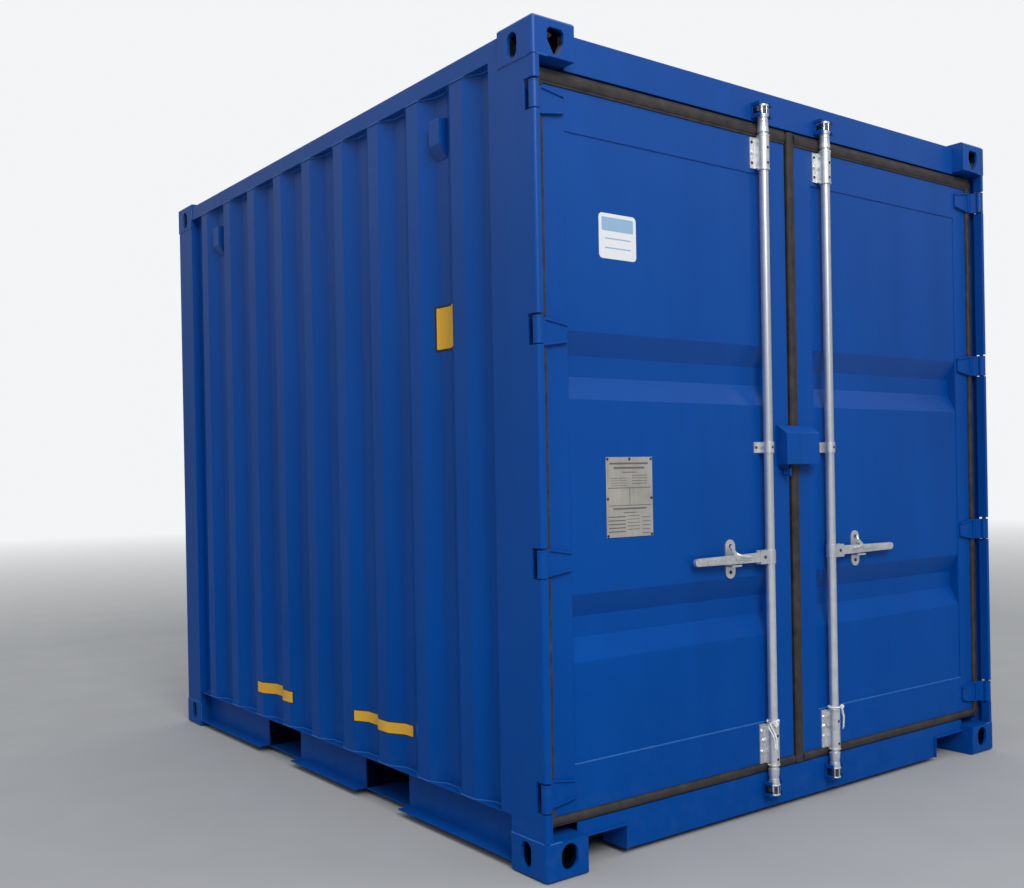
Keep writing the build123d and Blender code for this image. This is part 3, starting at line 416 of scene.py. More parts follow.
def bar_zinc():
    """Bright zinc, with the lobes of the cams dark blue: painted shade where the keepers shadow them."""
    n = Nodes("galvanised_locking_bar")
    patches = n.noise(20.0, 4.0, 0.6)
    colour = n.ramp(patches, (0.35, (0.70, 0.72, 0.76)), (0.62, (0.83, 0.85, 0.88)))
    x, _, z = n.xyz()
    from_bracket = n.math("ABSOLUTE", n.math("SUBTRACT", z, BRACKET_Z))
    beyond = n.math("GREATER_THAN", from_bracket, CAM_FROM_BRACKET)
    off_x = n.math("ABSOLUTE", n.math("SUBTRACT", n.math("ABSOLUTE", x), BAR_X))
    lobe = n.math("MULTIPLY", beyond, n.math("GREATER_THAN", off_x, HEAD_RADIUS + 0.0003))
    # The lobes of the cams, beyond the heads, get a dark blue: painted shade.
    colour = n.mix(lobe, colour, (0.030, 0.040, 0.070))
    normal = n.bump(n.noise(170.0, 4.0, 0.6), 0.06, 0.0005, n.soft_edges(0.0012))
    rough = n.span(patches, 0.3, 0.7, 0.36, 0.28)
    return n.surface(Base_Color=colour, Metallic=0.82, Roughness=rough, Normal=normal)


def dull_zinc():
    """The rougher coat of bearings, retainers and handles."""
    return zinc("galvanised_fittings", (0.84, 0.85, 0.85), (0.62, 0.62, 0.61), 0.25, 0.32, 0.46)


def seal_rubber():
    """Extruded rubber, brownish and dusty on its faces."""
    n = Nodes("door_seal_rubber")
    dust = n.noise(24.0, 6.0, 0.65)
    clean, brown, dusty = (0.020, 0.018, 0.019), (0.046, 0.038, 0.036), (0.085, 0.070, 0.062)
    colour = n.ramp(dust, (0.32, clean), (0.60, brown), (0.85, dusty))
    rough = n.span(dust, 0.3, 0.8, 0.50, 0.74)
    normal = n.bump(n.noise(260.0, 3.0), 0.18, 0.0007)
    return n.surface(Base_Color=colour, Roughness=rough, Normal=normal, Specular_IOR_Level=0.35)


def plywood():
    """Oiled hardwood plywood boards, laid along the container."""
    n = Nodes("plywood")
    grain = n.noise(1.0, 6.0, 0.6, at=n.scaled(42.0, 2.2, 42.0), distortion=0.8)
    board_width, seam_share = 0.58, 0.006
    boards = n.math("FRACT", n.math("MULTIPLY", n.xyz()[0], 1.0 / board_width))
    near_seam = n.math("LESS_THAN", boards, seam_share)
    far_seam = n.math("GREATER_THAN", boards, 1 - seam_share)
    seam = n.math("ADD", near_seam, far_seam, clamp=True)
    dark, brown, pale = (0.13, 0.060, 0.030), (0.27, 0.145, 0.075), (0.40, 0.24, 0.135)
    colour = n.ramp(grain, (0.30, dark), (0.55, brown), (0.78, pale))
    colour = n.mix(seam, colour, (0.02, 0.015, 0.01))
    normal = n.bump(grain, 0.25, 0.001)
    return n.surface(Base_Color=colour, Roughness=n.span(grain, 0.3, 0.8, 0.42, 0.62), Normal=normal)


def bare_plate():
    """Brushed metal plate, warm grey with use."""
    n = Nodes("bare_plate")
    brush = n.noise(1.0, 5.0, 0.6, at=n.scaled(220.0, 220.0, 6.0))
    stain = n.noise(9.0, 5.0, 0.6)
    tone = n.math("ADD", n.math("MULTIPLY", brush, 0.4), n.math("MULTIPLY", stain, 0.6))
    colour = n.ramp(tone, (0.32, (0.36, 0.34, 0.31)), (0.66, (0.52, 0.49, 0.44)))
    normal = n.bump(brush, 0.10, 0.0003, n.soft_edges(0.0006))
    rough = n.span(tone, 0.3, 0.7, 0.42, 0.56)
    return n.surface(Base_Color=colour, Metallic=0.35, Roughness=rough, Normal=normal)


def printed(name, colour, worn):
    """Self-adhesive film: an even print with faint scuffs and a slight ripple."""
    n = Nodes(name)
    scuff = n.span(n.noise(60.0, 5.0, 0.65), 0.56, 0.74)
    shade = n.mix(n.math("MULTIPLY", scuff, 0.35), colour, worn)
    normal = n.bump(n.noise(45.0, 3.0, 0.5), 0.12, 0.0005)
    return n.surface(Base_Color=shade, Roughness=0.42, Normal=normal, Specular_IOR_Level=0.4)


def rope_fibre():
    """White twisted cord, slightly soiled, with fine fibres along it."""
    n = Nodes("white_rope")
    fibre = n.noise(900.0, 3.0, 0.6)
    soil = n.noise(70.0, 4.0, 0.6)
    colour = n.ramp(soil, (0.30, (0.70, 0.70, 0.68)), (0.60, (0.93, 0.93, 0.91)))
    normal = n.bump(fibre, 0.5, 0.0004)
    rough = n.span(fibre, 0.3, 0.7, 0.75, 0.9)
    return n.surface(Base_Color=colour, Roughness=rough, Normal=normal, Sheen_Weight=0.25)


def grease_and_shade_steel():
    """Dark steel with grease, for rivets, and for the bands of the bar's ends, where it is painted shade for
    the recess between a cam head's flanges.
    """
    n = Nodes("grease_and_shade_steel")
    smear = n.noise(120.0, 4.0, 0.6)
    colour = n.ramp(smear, (0.35, (0.020, 0.026, 0.045)), (0.72, (0.10, 0.12, 0.17)))
    return n.surface(Base_Color=colour, Metallic=0.5, Roughness=n.span(smear, 0.3, 0.7, 0.34, 0.55))


def hole_shade_paint():
    """Painted shade, near black, for open holes and sunk screws, with a trace of grease."""
    n = Nodes("painted_hole_shade")
    grease = n.noise(300.0, 3.0)
    colour = n.ramp(grease, (0.35, (0.006, 0.006, 0.007)), (0.7, (0.02, 0.019, 0.018)))
    return n.surface(Base_Color=colour, Roughness=n.span(grease, 0.3, 0.7, 0.5, 0.7))


def floor_material():
    """The studio floor, which fades into the backdrop far away."""
    n = Nodes("studio_floor")
    x, y, _ = n.xyz()
    spread = n.math("POWER", n.math("ADD", n.math("POWER", x, 2.0), n.math("POWER", y, 2.0)), 0.5)
    fade = n.span(spread, 5.0, 22.0)
    tone = n.ramp(n.noise(3.0, 5.0), (0.3, 0.40), (0.7, 0.42))
    diffuse = n.new("ShaderNodeBsdfDiffuse")
    n.put(diffuse.inputs["Color"], tone)
    glow = n.new("ShaderNodeEmission")
    glow.inputs["Color"].default_value = BACKDROP
    glow.inputs["Strength"].default_value = 1.0
    seen = n.new("ShaderNodeLightPath").outputs["Is Camera Ray"]
    mixer = n.new("ShaderNodeMixShader")
    n.put(mixer.inputs[0], n.math("MULTIPLY", fade, seen))
    n.put(mixer.inputs[1], diffuse.outputs[0])
    n.put(mixer.inputs[2], glow.outputs[0])
    n.put(n.out.inputs["Surface"], mixer.outputs[0])
    return n.material


# Mesh helpers

def frames_along(points):
    """Each point of a line, with two directions square to it that turn as little as they can."""
    side = None
    for i, here in enumerate(points):
        ahead = (points[min(i + 1, len(points) - 1)] - points[max(i - 1, 0)]).normalized()
        if side is None:
            side = ahead.orthogonal().normalized()
        side = (side - ahead * side.dot(ahead)).normalized()
        yield here, side, ahead.cross(side)


class Shape:
    """Collects turned, boxed and swept parts into one piece."""

    def __init__(self):
        self.mesh = bmesh.new()

    def turned(self, place, axis, profile, segments):
        """Turns a closed or open profile of (radius, height) points round an axis at a place."""
        turn = Vector(axis).normalized().to_track_quat("Z", "Y").to_matrix()
        origin = Vector(place)
        rings = []
        for radius, height in profile:
            if radius < 1e-6:
                rings.append([self.mesh.verts.new(origin + turn @ Vector((0, 0, height)))])
                continue
            ring = []
            for i in range(segments):
                angle = 2 * math.pi * i / segments
                point = Vector((radius * math.cos(angle), radius * math.sin(angle), height))
                ring.append(self.mesh.verts.new(origin + turn @ point))
            rings.append(ring)
        for low, high in zip(rings, rings[1:]):
            for i in range(segments):
                j = (i + 1) % segments
                if len(low) == 1:
                    self.mesh.faces.new((low[0], high[j], high[i]))
                elif len(high) == 1:
                    self.mesh.faces.new((low[i], low[j], high[0]))
                else:
                    self.mesh.faces.new((low[i], low[j], high[j], high[i]))

    def ring(self, place, axis, inner, outer, height):
        """A collar with eased edges, open in the middle."""
        ease = min(height, outer - inner) * 0.3
        half = height / 2
        profile = [
            (inner, -half),
            (outer - ease, -half),
            (outer, ease - half),
            (outer, half - ease),
            (outer - ease, half),
            (inner, half),
            (inner, -half),
        ]
        self.turned(place, axis, profile, 40)

    def hex_bolt(self, place, axis, across):
        """A washer and a hexagon head with an eased top, standing on a surface."""
        washer = across * 1.15
        thick = across * 0.14
        profile = [(0, 0), (washer, 0), (washer, thick * 0.7), (washer * 0.94, thick), (0, thick)]
        self.turned(place, axis, profile, 20)
        head = Vector(place) + Vector(axis).normalized() * thick
        tall = across * 0.62
        profile = [(0, 0), (across, 0), (across, tall * 0.8), (across * 0.84, tall), (0, tall)]
        self.turned(head, axis, profile, 6)

    def dome(self, place, axis, radius, height):
        """A rivet head on a surface."""
        profile = [(radius, 0), (radius * 0.92, height * 0.5), (radius * 0.62, height * 0.88), (0, height)]
        self.turned(place, axis, profile, 16)

    def slab(self, low, high, ease=0.0):
        """A box between two corners, with its edges eased where asked."""
        made = bmesh.ops.create_cube(self.mesh, size=1.0)
        for v in made["verts"]:
            v.co = [high[i] if v.co[i] > 0 else low[i] for i in range(3)]
        if ease > 0:
            edges = list({e for v in made["verts"] for e in v.link_edges})
            bmesh.ops.bevel(self.mesh, geom=edges, offset=ease, segments=2, affect="EDGES")

    def tube(self, points, radius, sides, jitter=0.0, close_ends=True):
        """A round section along points, uneven where asked."""
        rings = []
        for here, side, up in frames_along([Vector(p) for p in points]):
            thick = radius * (1 + random.uniform(-jitter, jitter)) if jitter else radius
            ring = []
            for k in range(sides):
                angle = 2 * math.pi * k / sides
                out = side * math.cos(angle) + up * math.sin(angle)
                ring.append(self.mesh.verts.new(here + out * thick))
            rings.append(ring)
        for low, high in zip(rings, rings[1:]):
            for k in range(sides):
                j = (k + 1) % sides
                self.mesh.faces.new((low[k], low[j], high[j], high[k]))
        if close_ends:
            self.mesh.faces.new(list(reversed(rings[0])))
            self.mesh.faces.new(rings[-1])

    def strip(self, line, section):
        """Sweeps a section of (out, across) points along a line of (point, out, across) frames."""
        rows = []
        for point, out, across in line:
            origin, out, across = Vector(point), Vector(out), Vector(across)
            rows.append([self.mesh.verts.new(origin + out * a + across * b) for a, b in section])
        for low, high in zip(rows, rows[1:]):
            for k in range(len(section) - 1):
                self.mesh.faces.new((low[k], low[k + 1], high[k + 1], high[k]))

    def done(self, name, material, body, slot=None):
        """Makes the piece, smooth but for its sharp edges, and rides it on its body."""
        bmesh.ops.recalc_face_normals(self.mesh, faces=self.mesh.faces)
        limit = math.radians(SHARP_ANGLE)
        for edge in self.mesh.edges:
            edge.smooth = len(edge.link_faces) == 2 and edge.calc_face_angle(3.2) < limit
        for face in self.mesh.faces:
            face.smooth = True
        data = bpy.data.meshes.new(name)
        self.mesh.to_mesh(data)
        self.mesh.free()
        piece = bpy.data.objects.new(name, data)
        bpy.context.scene.collection.objects.link(piece)
        data.materials.append(material)
        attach(piece, body)
        return piece


def ellipse(half_wide, proud, steps=8):
    """Half an ellipse as (out, across) points."""
    points = []
    for i in range(steps + 1):
        angle = math.pi * i / steps
        points.append((proud * math.sin(angle), -half_wide * math.cos(angle)))
    return points


# Camera and ropes

def make_camera():
    """The photograph's camera."""
    data = bpy.data.cameras.new("camera")
    data.sensor_width = 36.0
    data.lens = CAMERA_LENS
    data.shift_x, data.shift_y = CAMERA_SHIFT
    data.clip_end = 200.0
    camera = bpy.data.objects.new("camera", data)
    bpy.context.scene.collection.objects.link(camera)
    back = -Vector(CAMERA_AIM).normalized()
    up = back.cross(Vector(CAMERA_RIGHT)).normalized()
    right = up.cross(back).normalized()
    turn = Matrix((right, up, back)).transposed().to_4x4()
    camera.matrix_world = Matrix.Translation(CAMERA_PLACE) @ turn
    bpy.context.scene.camera = camera


def route_line(name, route):
    """The points of the smooth curve that follows a route."""
    curve = bpy.data.curves.new(name, "CURVE")
    curve.dimensions = "3D"
    spline = curve.splines.new("NURBS")
    spline.points.add(len(route) - 1)
    for point, place in zip(spline.points, route):
        point.co = (*place, 1.0)
    spline.order_u = 3
    spline.use_endpoint_u = True
    spline.resolution_u = 14
    holder = bpy.data.objects.new(name, curve)
    bpy.context.scene.collection.objects.link(holder)
    line = bpy.data.meshes.new_from_object(holder)
    points = [v.co.copy() for v in line.vertices]
    bpy.data.objects.remove(holder)
    bpy.data.curves.remove(curve)
    bpy.data.meshes.remove(line)
    return points


def strand_points(points, turn_length, radius, phase):
    """A strand that winds round a line."""
    gone = 0.0
    last = points[0]
    strand = []
    for here, side, up in frames_along(points):
        gone += (here - last).length
        last = here
        angle = phase + 2 * math.pi * gone / turn_length
        strand.append(here + (side * math.cos(angle) + up * math.sin(angle)) * radius)
    return strand


def knot_points(centre, size, steps=60):
    """A trefoil, pulled tight."""
    points = []
    for i in range(steps + 1):
        t = 2 * math.pi * i / steps
        x = math.sin(t) + 2 * math.sin(2 * t)
        y = math.cos(t) - 2 * math.cos(2 * t)
        z = -math.sin(3 * t)
        points.append(Vector(centre) + Vector((x * size, z * size * 0.8, y * size)))
    return points


def wound_strands(shape, line):
    """The strands of a rope along a line."""
    radius = ROPE_DIAMETER / 2
    for k in range(STRANDS):
        winding = strand_points(line, STRAND_TWIST, radius * 0.52, 2 * math.pi * k / STRANDS)
        shape.tube(winding, radius * 0.60, 8)


def frayed_end(shape, tip):
    """A tuft of loose yarns below the end of a rope."""
    radius = ROPE_DIAMETER / 2
    for k in range(YARNS):
        angle = 2 * math.pi * k / YARNS
        out = Vector((math.cos(angle), math.sin(angle), 0)) * random.uniform(0.6, 1.5) * radius
        reach = random.uniform(0.008, 0.015)
        yarn = [tip + out * share + Vector((0, 0, -reach * share ** 0.8)) for share in (0.0, 0.35, 0.7, 1.0)]
        shape.tube(yarn, radius * 0.17, 5)


def make_rope(side, route, twin, knot_place, fibre):
    """A three strand rope round the bar, with its knot, its other end and its frayed tips."""
    body = f"{side}_door"
    line = route_line(f"{side}_rope_route", route)
    strands = Shape()
    wound_strands(strands, line)
    rope = strands.done(f"{side}_rope_strands", fibre, body, "white_rope")
    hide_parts(f"{side}_rope")

    twin_line = route_line(f"{side}_rope_twin_route", twin)
    twin_shape = Shape()
    wound_strands(twin_shape, twin_line)
    twin_piece = twin_shape.done(f"{side}_rope_other_end", fibre, body, "white_rope")

    knot = Shape()
    centre_line = knot_points(knot_place, KNOT_SIZE)
    for k in range(2):
        loop = strand_points(centre_line, STRAND_TWIST, ROPE_DIAMETER * 0.18, math.pi * k)
        knot.tube(loop, ROPE_DIAMETER * 0.28, 8, close_ends=False)
    knot_piece = knot.done(f"{side}_rope_knot", fibre, body, "white_rope")

    fray = Shape()
    frayed_end(fray, line[-1])
    frayed_end(fray, twin_line[-1])
    fray_piece = fray.done(f"{side}_rope_tips", fibre, body, "white_rope")
    tuple(line[0])
    [tuple(p) for p in line]


# Stage

def area_light(name, place, target, size, power):
    """A round white light that faces its target."""
    data = bpy.data.lights.new(name, "AREA")
    data.shape = "DISK"
    data.size = size
    data.energy = power
    light = bpy.data.objects.new(name, data)
    bpy.context.scene.collection.objects.link(light)
    aim = Vector(target) - Vector(place)
    light.rotation_euler = aim.to_track_quat("-Z", "Y").to_euler()
    light.location = place


def make_world():
    """A soft sky, brighter overhead, and a plain pale backdrop where the camera sees it."""
    world = bpy.data.worlds.new("studio")
    bpy.context.scene.world = world
    world.use_nodes = True
    tree = world.node_tree
    tree.nodes.clear()
    out = tree.nodes.new("ShaderNodeOutputWorld")
    seen = tree.nodes.new("ShaderNodeLightPath")
    place = tree.nodes.new("ShaderNodeTexCoord")
    height = tree.nodes.new("ShaderNodeSeparateXYZ")
    tree.links.new(place.outputs["Generated"], height.inputs[0])
    sky = tree.nodes.new("ShaderNodeValToRGB")
    sky.color_ramp.elements[0].position = 0.0
    sky.color_ramp.elements[0].color = (0.15, 0.16, 0.18, 1)
    sky.color_ramp.elements[1].position = 0.85
    sky.color_ramp.elements[1].color = (0.94, 0.97, 1.0, 1)
    tree.links.new(height.outputs[2], sky.inputs["Fac"])
    soft = tree.nodes.new("ShaderNodeBackground")
    tree.links.new(sky.outputs["Color"], soft.inputs["Color"])
    soft.inputs["Strength"].default_value = 1.00
    pale = tree.nodes.new("ShaderNodeBackground")
    pale.inputs["Color"].default_value = BACKDROP
    pale.inputs["Strength"].default_value = 1.0
    mixer = tree.nodes.new("ShaderNodeMixShader")
    tree.links.new(seen.outputs["Is Camera Ray"], mixer.inputs[0])
    tree.links.new(soft.outputs[0], mixer.inputs[1])
    tree.links.new(pale.outputs[0], mixer.inputs[2])
    tree.links.new(mixer.outputs[0], out.inputs["Surface"])


def make_stage():
    """The sky, the floor and the light above the camera's left."""
    make_world()
    mesh = bpy.data.meshes.new("studio_floor")
    shape = bmesh.new()
    bmesh.ops.create_circle(shape, cap_ends=True, radius=60.0, segments=96)
    shape.to_mesh(mesh)
    shape.free()
    floor = bpy.data.objects.new("studio_floor", mesh)
    bpy.context.scene.collection.objects.link(floor)
    floor.data.materials.append(floor_material())
    area_light("key", place=(-3.5, -9.0, 7.0), target=(0.0, -1.4, 1.2), size=5.0, power=590.0)


# Pieces on the container

def dress_nodes(made):
    """Gives every node of the part the material of its record slot, or a closer one."""
    for part in frame["record"]["subparts"]:
        name = part["node"]
        material = made[part["material_slot"]]
        if "bearings" in name or "retainer" in name or "handle" in name:
            material = made["dull_zinc"]
        if "castings" in name:
            material = made["casting_paint_inner_shade"]
        if name == "fork_pockets":
            material = made["pocket_paint_inner_shade"]
        if "locking_bar" in name:
            material = made["bar_zinc"]
        NODES[name].data.materials.clear()
        NODES[name].data.materials.append(material)


def wall_line(node, z_wanted, out):
    """The outermost points of a corrugated wall at a height, in order along it."""
    outermost = min if out < 0 else max
    xs = {}
    for v in NODES[node].data.vertices:
        if abs(v.co.z - z_wanted) < 1e-3:
            y = round(v.co.y, 4)
            xs[y] = outermost(xs.get(y, v.co.x), v.co.x)
    return [(x, y) for y, x in sorted(xs.items())]


def line_between(line, y0, y1):
    """The stretch of a line of (x, y) points between two places, with its ends worked out."""

    def end(y):
        pairs = zip(line, line[1:])
        (xa, ya), (xb, yb) = next(pair for pair in pairs if pair[0][1] <= y <= pair[1][1])
        return xa + (xb - xa) * (y - ya) / (yb - ya), y

    return [end(y0)] + [(x, y) for x, y in line if y0 < y < y1] + [end(y1)]


def wall_label(name, line, box, border, film, border_film):
    """A bare label with a border, following the corrugation of the left wall."""
    for piece_name, inset, lift, material in (
        (f"{name}_border", 0.0, LABEL_LIFT, border_film),
        (f"{name}_face", border, 2 * LABEL_LIFT, film),
    ):
        y0, y1, z0, z1 = box[0] + inset, box[1] - inset, box[2] + inset, box[3] - inset
        run = line_between(line, y0, y1)
        shape = Shape()
        frames = [((x - lift, y, 0), (0, 0, 1), (1, 0, 0)) for x, y in run]
        shape.strip(frames, [(z0, 0.0), (z1, 0.0), (z1, LABEL_LIFT), (z0, LABEL_LIFT)])
        shape.done(piece_name, material, "container")


def rounded_outline(x0, x1, z0, z1, radius, steps=6):
    """A rectangle with round corners, as (x, z) points."""
    corners = (
        (x1 - radius, z1 - radius),
        (x0 + radius, z1 - radius),
        (x0 + radius, z0 + radius),
        (x1 - radius, z0 + radius),
    )
    points = []
    for quarter, (x, z) in enumerate(corners):
        for i in range(steps + 1):
            angle = math.radians(90 * quarter + 90 * i / steps)
            points.append((x + radius * math.cos(angle), z + radius * math.sin(angle)))
    return points


def flat_patch(name, outline, y_back, y_front, material, body):
    """A thin plate facing the door end, from an outline of (x, z) points."""
    shape = Shape()
    back = [shape.mesh.verts.new((x, y_back, z)) for x, z in outline]
    front = [shape.mesh.verts.new((x, y_front, z)) for x, z in outline]
    shape.mesh.faces.new(front)
    for i in range(len(outline)):
        j = (i + 1) % len(outline)
        shape.mesh.faces.new((back[i], back[j], front[j], front[i]))
    shape.done(name, material, body)


def door_sticker(face_y):
    """A bare white sticker with a plain pale band and two lines, on the left door."""
    x0, x1, z0, z1 = STICKER
    white = printed("sticker_white", (0.80, 0.82, 0.84), (0.62, 0.65, 0.68))
    band = printed("sticker_band", (0.30, 0.47, 0.66), (0.42, 0.55, 0.68))
    front = face_y - STICKER_THICK
    print_front = face_y - 1.5 * STICKER_THICK
    flat_patch("door_sticker", rounded_outline(x0, x1, z0, z1, 0.014), face_y, front, white, "left_door")
    left, right, head = x0 + STICKER_MARGIN, x1 - STICKER_MARGIN, z1 - STICKER_MARGIN
    foot = head - (z1 - z0) * 0.30
    outline = rounded_outline(left, right, foot, head, 0.004)
    flat_patch("door_sticker_band", outline, front, print_front, band, "left_door")
    for i in range(2):
        top = foot - 0.022 - 0.030 * i
        outline = rounded_outline(left + STICKER_MARGIN, right - STICKER_MARGIN, top - 0.004, top, 0.0015)
        flat_patch(f"door_sticker_line_{i}", outline, front, print_front, band, "left_door")


def data_plate_fields(made):
    """The plate's blank fields, as raised lines and short dashes, and its dark rivets."""
    (left, face, foot), (right, _, head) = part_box("data_plate")
    wide, tall = right - left, head - foot
    lines = Shape()

    def dash(start, end, height, thick):
        """A level line, with its ends and height as shares of the plate."""
        z = foot + tall * height
        low = (left + wide * start, face - PLATE_LINE_THICK, z - thick / 2)
        lines.slab(low, (left + wide * end, face, z + thick / 2))

    headings = (
        (0.08, 0.90, 0.920, 0.0060),
        (0.16, 0.82, 0.865, 0.0060),
        (0.34, 0.66, 0.810, 0.0025),
        (0.04, 0.96, 0.615, 0.0022),
        (0.04, 0.96, 0.395, 0.0018),
        (0.14, 0.86, 0.355, 0.0050),
        (0.36, 0.64, 0.305, 0.0025),
    )
    for heading in headings:
        dash(*heading)
    for row in range(5):
        dash(0.04, 0.40, 0.255 - 0.046 * row, 0.0032)
        dash(0.44, 0.70, 0.262 - 0.042 * row, 0.0018)
        dash(0.76, 0.94, 0.240 - 0.050 * row, 0.0018)
    for row in range(4):
        dash(0.56, 0.88, 0.770 - 0.034 * row, 0.0018)
        dash(0.10, 0.44, 0.735 - 0.030 * row, 0.0012)
    middle = left + wide * 0.5
    low = (middle - 0.001, face - PLATE_LINE_THICK, foot + tall * 0.40)
    lines.slab(low, (middle + 0.001, face, foot + tall * 0.61))
    lines.done("data_plate_lines", made["plate_ink"], "left_door")

    rivets = Shape()
    for up, row in ((0.975, (0.03, 0.5, 0.97)), (0.48, (0.03, 0.97)), (0.02, (0.03, 0.97))):
        for across in row:
            rivets.dome((left + wide * across, face, foot + tall * up), FRONT, 0.0050, 0.0022)
    rivets.done("data_plate_rivets", made["grease_and_shade"], "left_door")


def bearing_details(side, s, made):
    """Bolts and open holes on the flanges and the bracket, and screws and rings on the sleeves."""
    door = f"{side}_door"
    x = s * BAR_X
    left, right = x - COLUMN_FROM_BAR, x + COLUMN_FROM_BAR
    # The holes, sunk screws and retainer bolts are near black discs and domes: painted shade.
    bolts, holes, rings = Shape(), Shape(), Shape()
    for z in (*LOW_BOLTS_Z, HIGH_BOLT_Z):
        bolts.hex_bolt((left, FLANGE_Y, z), FRONT, FLANGE_BOLT)
    bolts.hex_bolt((left + STRAY_BOLT_SHIFT[side], FLANGE_Y, STRAY_BOLT_Z), FRONT, FLANGE_BOLT)
    for z in HIGH_HOLES_Z:
        holes.turned((left, FLANGE_Y, z), FRONT, FLANGE_HOLE, HOLE_SIDES)
    for foot, head in SLEEVES:
        for z in (foot + BOLT_FROM_SLEEVE_FOOT, head - BOLT_FROM_SLEEVE_HEAD):
            bolts.hex_bolt((right, FLANGE_Y, z), FRONT, FLANGE_BOLT)
        for z in (foot + SCREW_FROM_SLEEVE_END, head - 2 * SCREW_FROM_SLEEVE_END):
            holes.turned((x, BAR_Y - SLEEVE_RADIUS + HOLE_SINK, z), FRONT, SLEEVE_HOLE, HOLE_SIDES)
        for z in (foot + SLEEVE_RING_INSET, head - SLEEVE_RING_INSET):
            rings.ring((x, BAR_Y, z), UP, SLEEVE_RADIUS - SINK, SLEEVE_RADIUS + 0.0018, 0.006)
    bolts.hex_bolt((right, BRACKET_FACE_Y, BRACKET_Z), FRONT, BRACKET_BOLT)
    holes.turned((left, BRACKET_FACE_Y, BRACKET_Z), FRONT, EAR_HOLE, HOLE_SIDES)
    holes.turned((x, BAR_Y - BRACKET_RADIUS + HOLE_SINK, BRACKET_Z), FRONT, BRACKET_HOLE, HOLE_SIDES)
    retainer_x = x + s * RETAINER_FROM_BAR
    for drop in (RETAINER_BOLT_DROP, -RETAINER_BOLT_DROP):
        holes.dome((retainer_x, RETAINER_Y, HANDLE_Z + drop), FRONT, 0.0068, 0.0035)
    bolts.done(f"{side}_door_bolts", made["galvanised_steel"], door, "galvanised_steel")
    holes.done(f"{side}_door_screw_holes", made["hole"], door)
    rings.done(f"{side}_sleeve_rings", made["dull_zinc"], door, "galvanised_steel")


def lever_details(side, s, made):
    """The ribs across the handle's grip, and the tongue of its catch."""
    x = s * BAR_X
    lever = Shape()
    for i in range(LEVER_RIBS):
        rib = x + s * (FIRST_LEVER_RIB + LEVER_RIB_PITCH * i)
        low = (rib - LEVER_RIB_HALF_WIDE, HANDLE_FACE_Y - 2 * SINK, HANDLE_Z - LEVER_RIB_HALF_TALL)
        high = (rib + LEVER_RIB_HALF_WIDE, HANDLE_FACE_Y + SINK, HANDLE_Z + LEVER_RIB_HALF_TALL)
        lever.slab(low, high, 0.0004)
    tongue = [(x + s * out, y, z) for out, y, z in CATCH_TONGUE]
    lever.tube(route_line(f"{side}_catch_tongue_route", tongue), CATCH_RADIUS, 12)
    lever.done(f"{side}_lever_ribs", made["galvanised_steel"], f"{side}_handle_lever", "galvanised_steel")


def bar_collars(side, s, made):
    """Collars and dark bands on both ends of the bar, the bands painted shade for the recess between a
    head's flanges, and the rivet through the handle's hub.
    """
    bar = f"{side}_bar"
    x = s * BAR_X
    collars, dark = Shape(), Shape()
    for end, sleeve_end in ((-1, SLEEVES[0][0]), (1, SLEEVES[1][1])):
        collars.turned((x, BAR_Y, sleeve_end + end * FLARE_START), (0, 0, end), FLARE, 40)
        collars.ring((x, BAR_Y, sleeve_end + end * NECK_RING), UP, 0.0165, 0.0186, 0.009)
        for gone in HEAD_RINGS:
            place = (x, BAR_Y, sleeve_end + end * gone)
            collars.ring(place, UP, HEAD_RADIUS - SINK, HEAD_RADIUS + 0.0022, 0.005)
        middle = sleeve_end + end * BAND_MIDDLE
        # The dark band is painted shade, standing for the recess between the head's flanges.
        dark.ring((x, BAR_Y, middle), UP, HEAD_RADIUS - SINK, HEAD_RADIUS + 0.0004, BAND_HEIGHT)
        for angle in HEAD_RIB_ANGLES:
            turn = math.radians(angle)
            rib_x = x + (HEAD_RADIUS + 0.0001) * math.sin(turn)
            rib_y = BAR_Y - (HEAD_RADIUS + 0.0001) * math.cos(turn)
            collars.turned((rib_x, rib_y, middle - BAND_HEIGHT / 2), UP, HEAD_RIB, 10)
    for way in (-1, 1):
        face = BAR_Y + way * (HUB_HALF_DEPTH + 0.0004)
        dark.dome((x + s * HUB_FROM_BAR, face, HANDLE_Z), (0, way, 0), 0.0062, 0.003)
    collars.done(f"{side}_bar_collars", made["galvanised_steel"], bar, "galvanised_steel")
    dark.done(f"{side}_cam_shade_bands", made["grease_and_shade"], bar, "galvanised_steel")


def panel_seams(side, made):
    """The bead of weld round the sheet of a door leaf."""
    leaf = NODES[f"{side}_door_frame"].data.vertices
    front = min(v.co.y for v in leaf)
    face = [v.co for v in leaf if v.co.y < front + 1e-4]
    xs = sorted({round(c.x, 4) for c in face})
    zs = sorted({round(c.z, 4) for c in face})
    x0, x1, z0, z1 = xs[1], xs[-2], zs[1], zs[-2]
    y = front + 0.0022
    seams, foot = Shape(), Shape()
    weld_line(foot, (x0, y, z0), (x1, y, z0), 0.0034)
    for (xa, za), (xb, zb) in (((x1, z0), (x1, z1)), ((x1, z1), (x0, z1)), ((x0, z1), (x0, z0))):
        weld_line(seams, (xa, y, za), (xb, y, zb), 0.0028)
    seams.done(f"{side}_panel_seams", made["blue_paint"], f"{side}_door", "blue_paint")
    # The foot seam's paint carries a painted highlight.
    foot.done(f"{side}_panel_foot_seam", made["bead_paint_highlight"], f"{side}_door", "blue_paint")


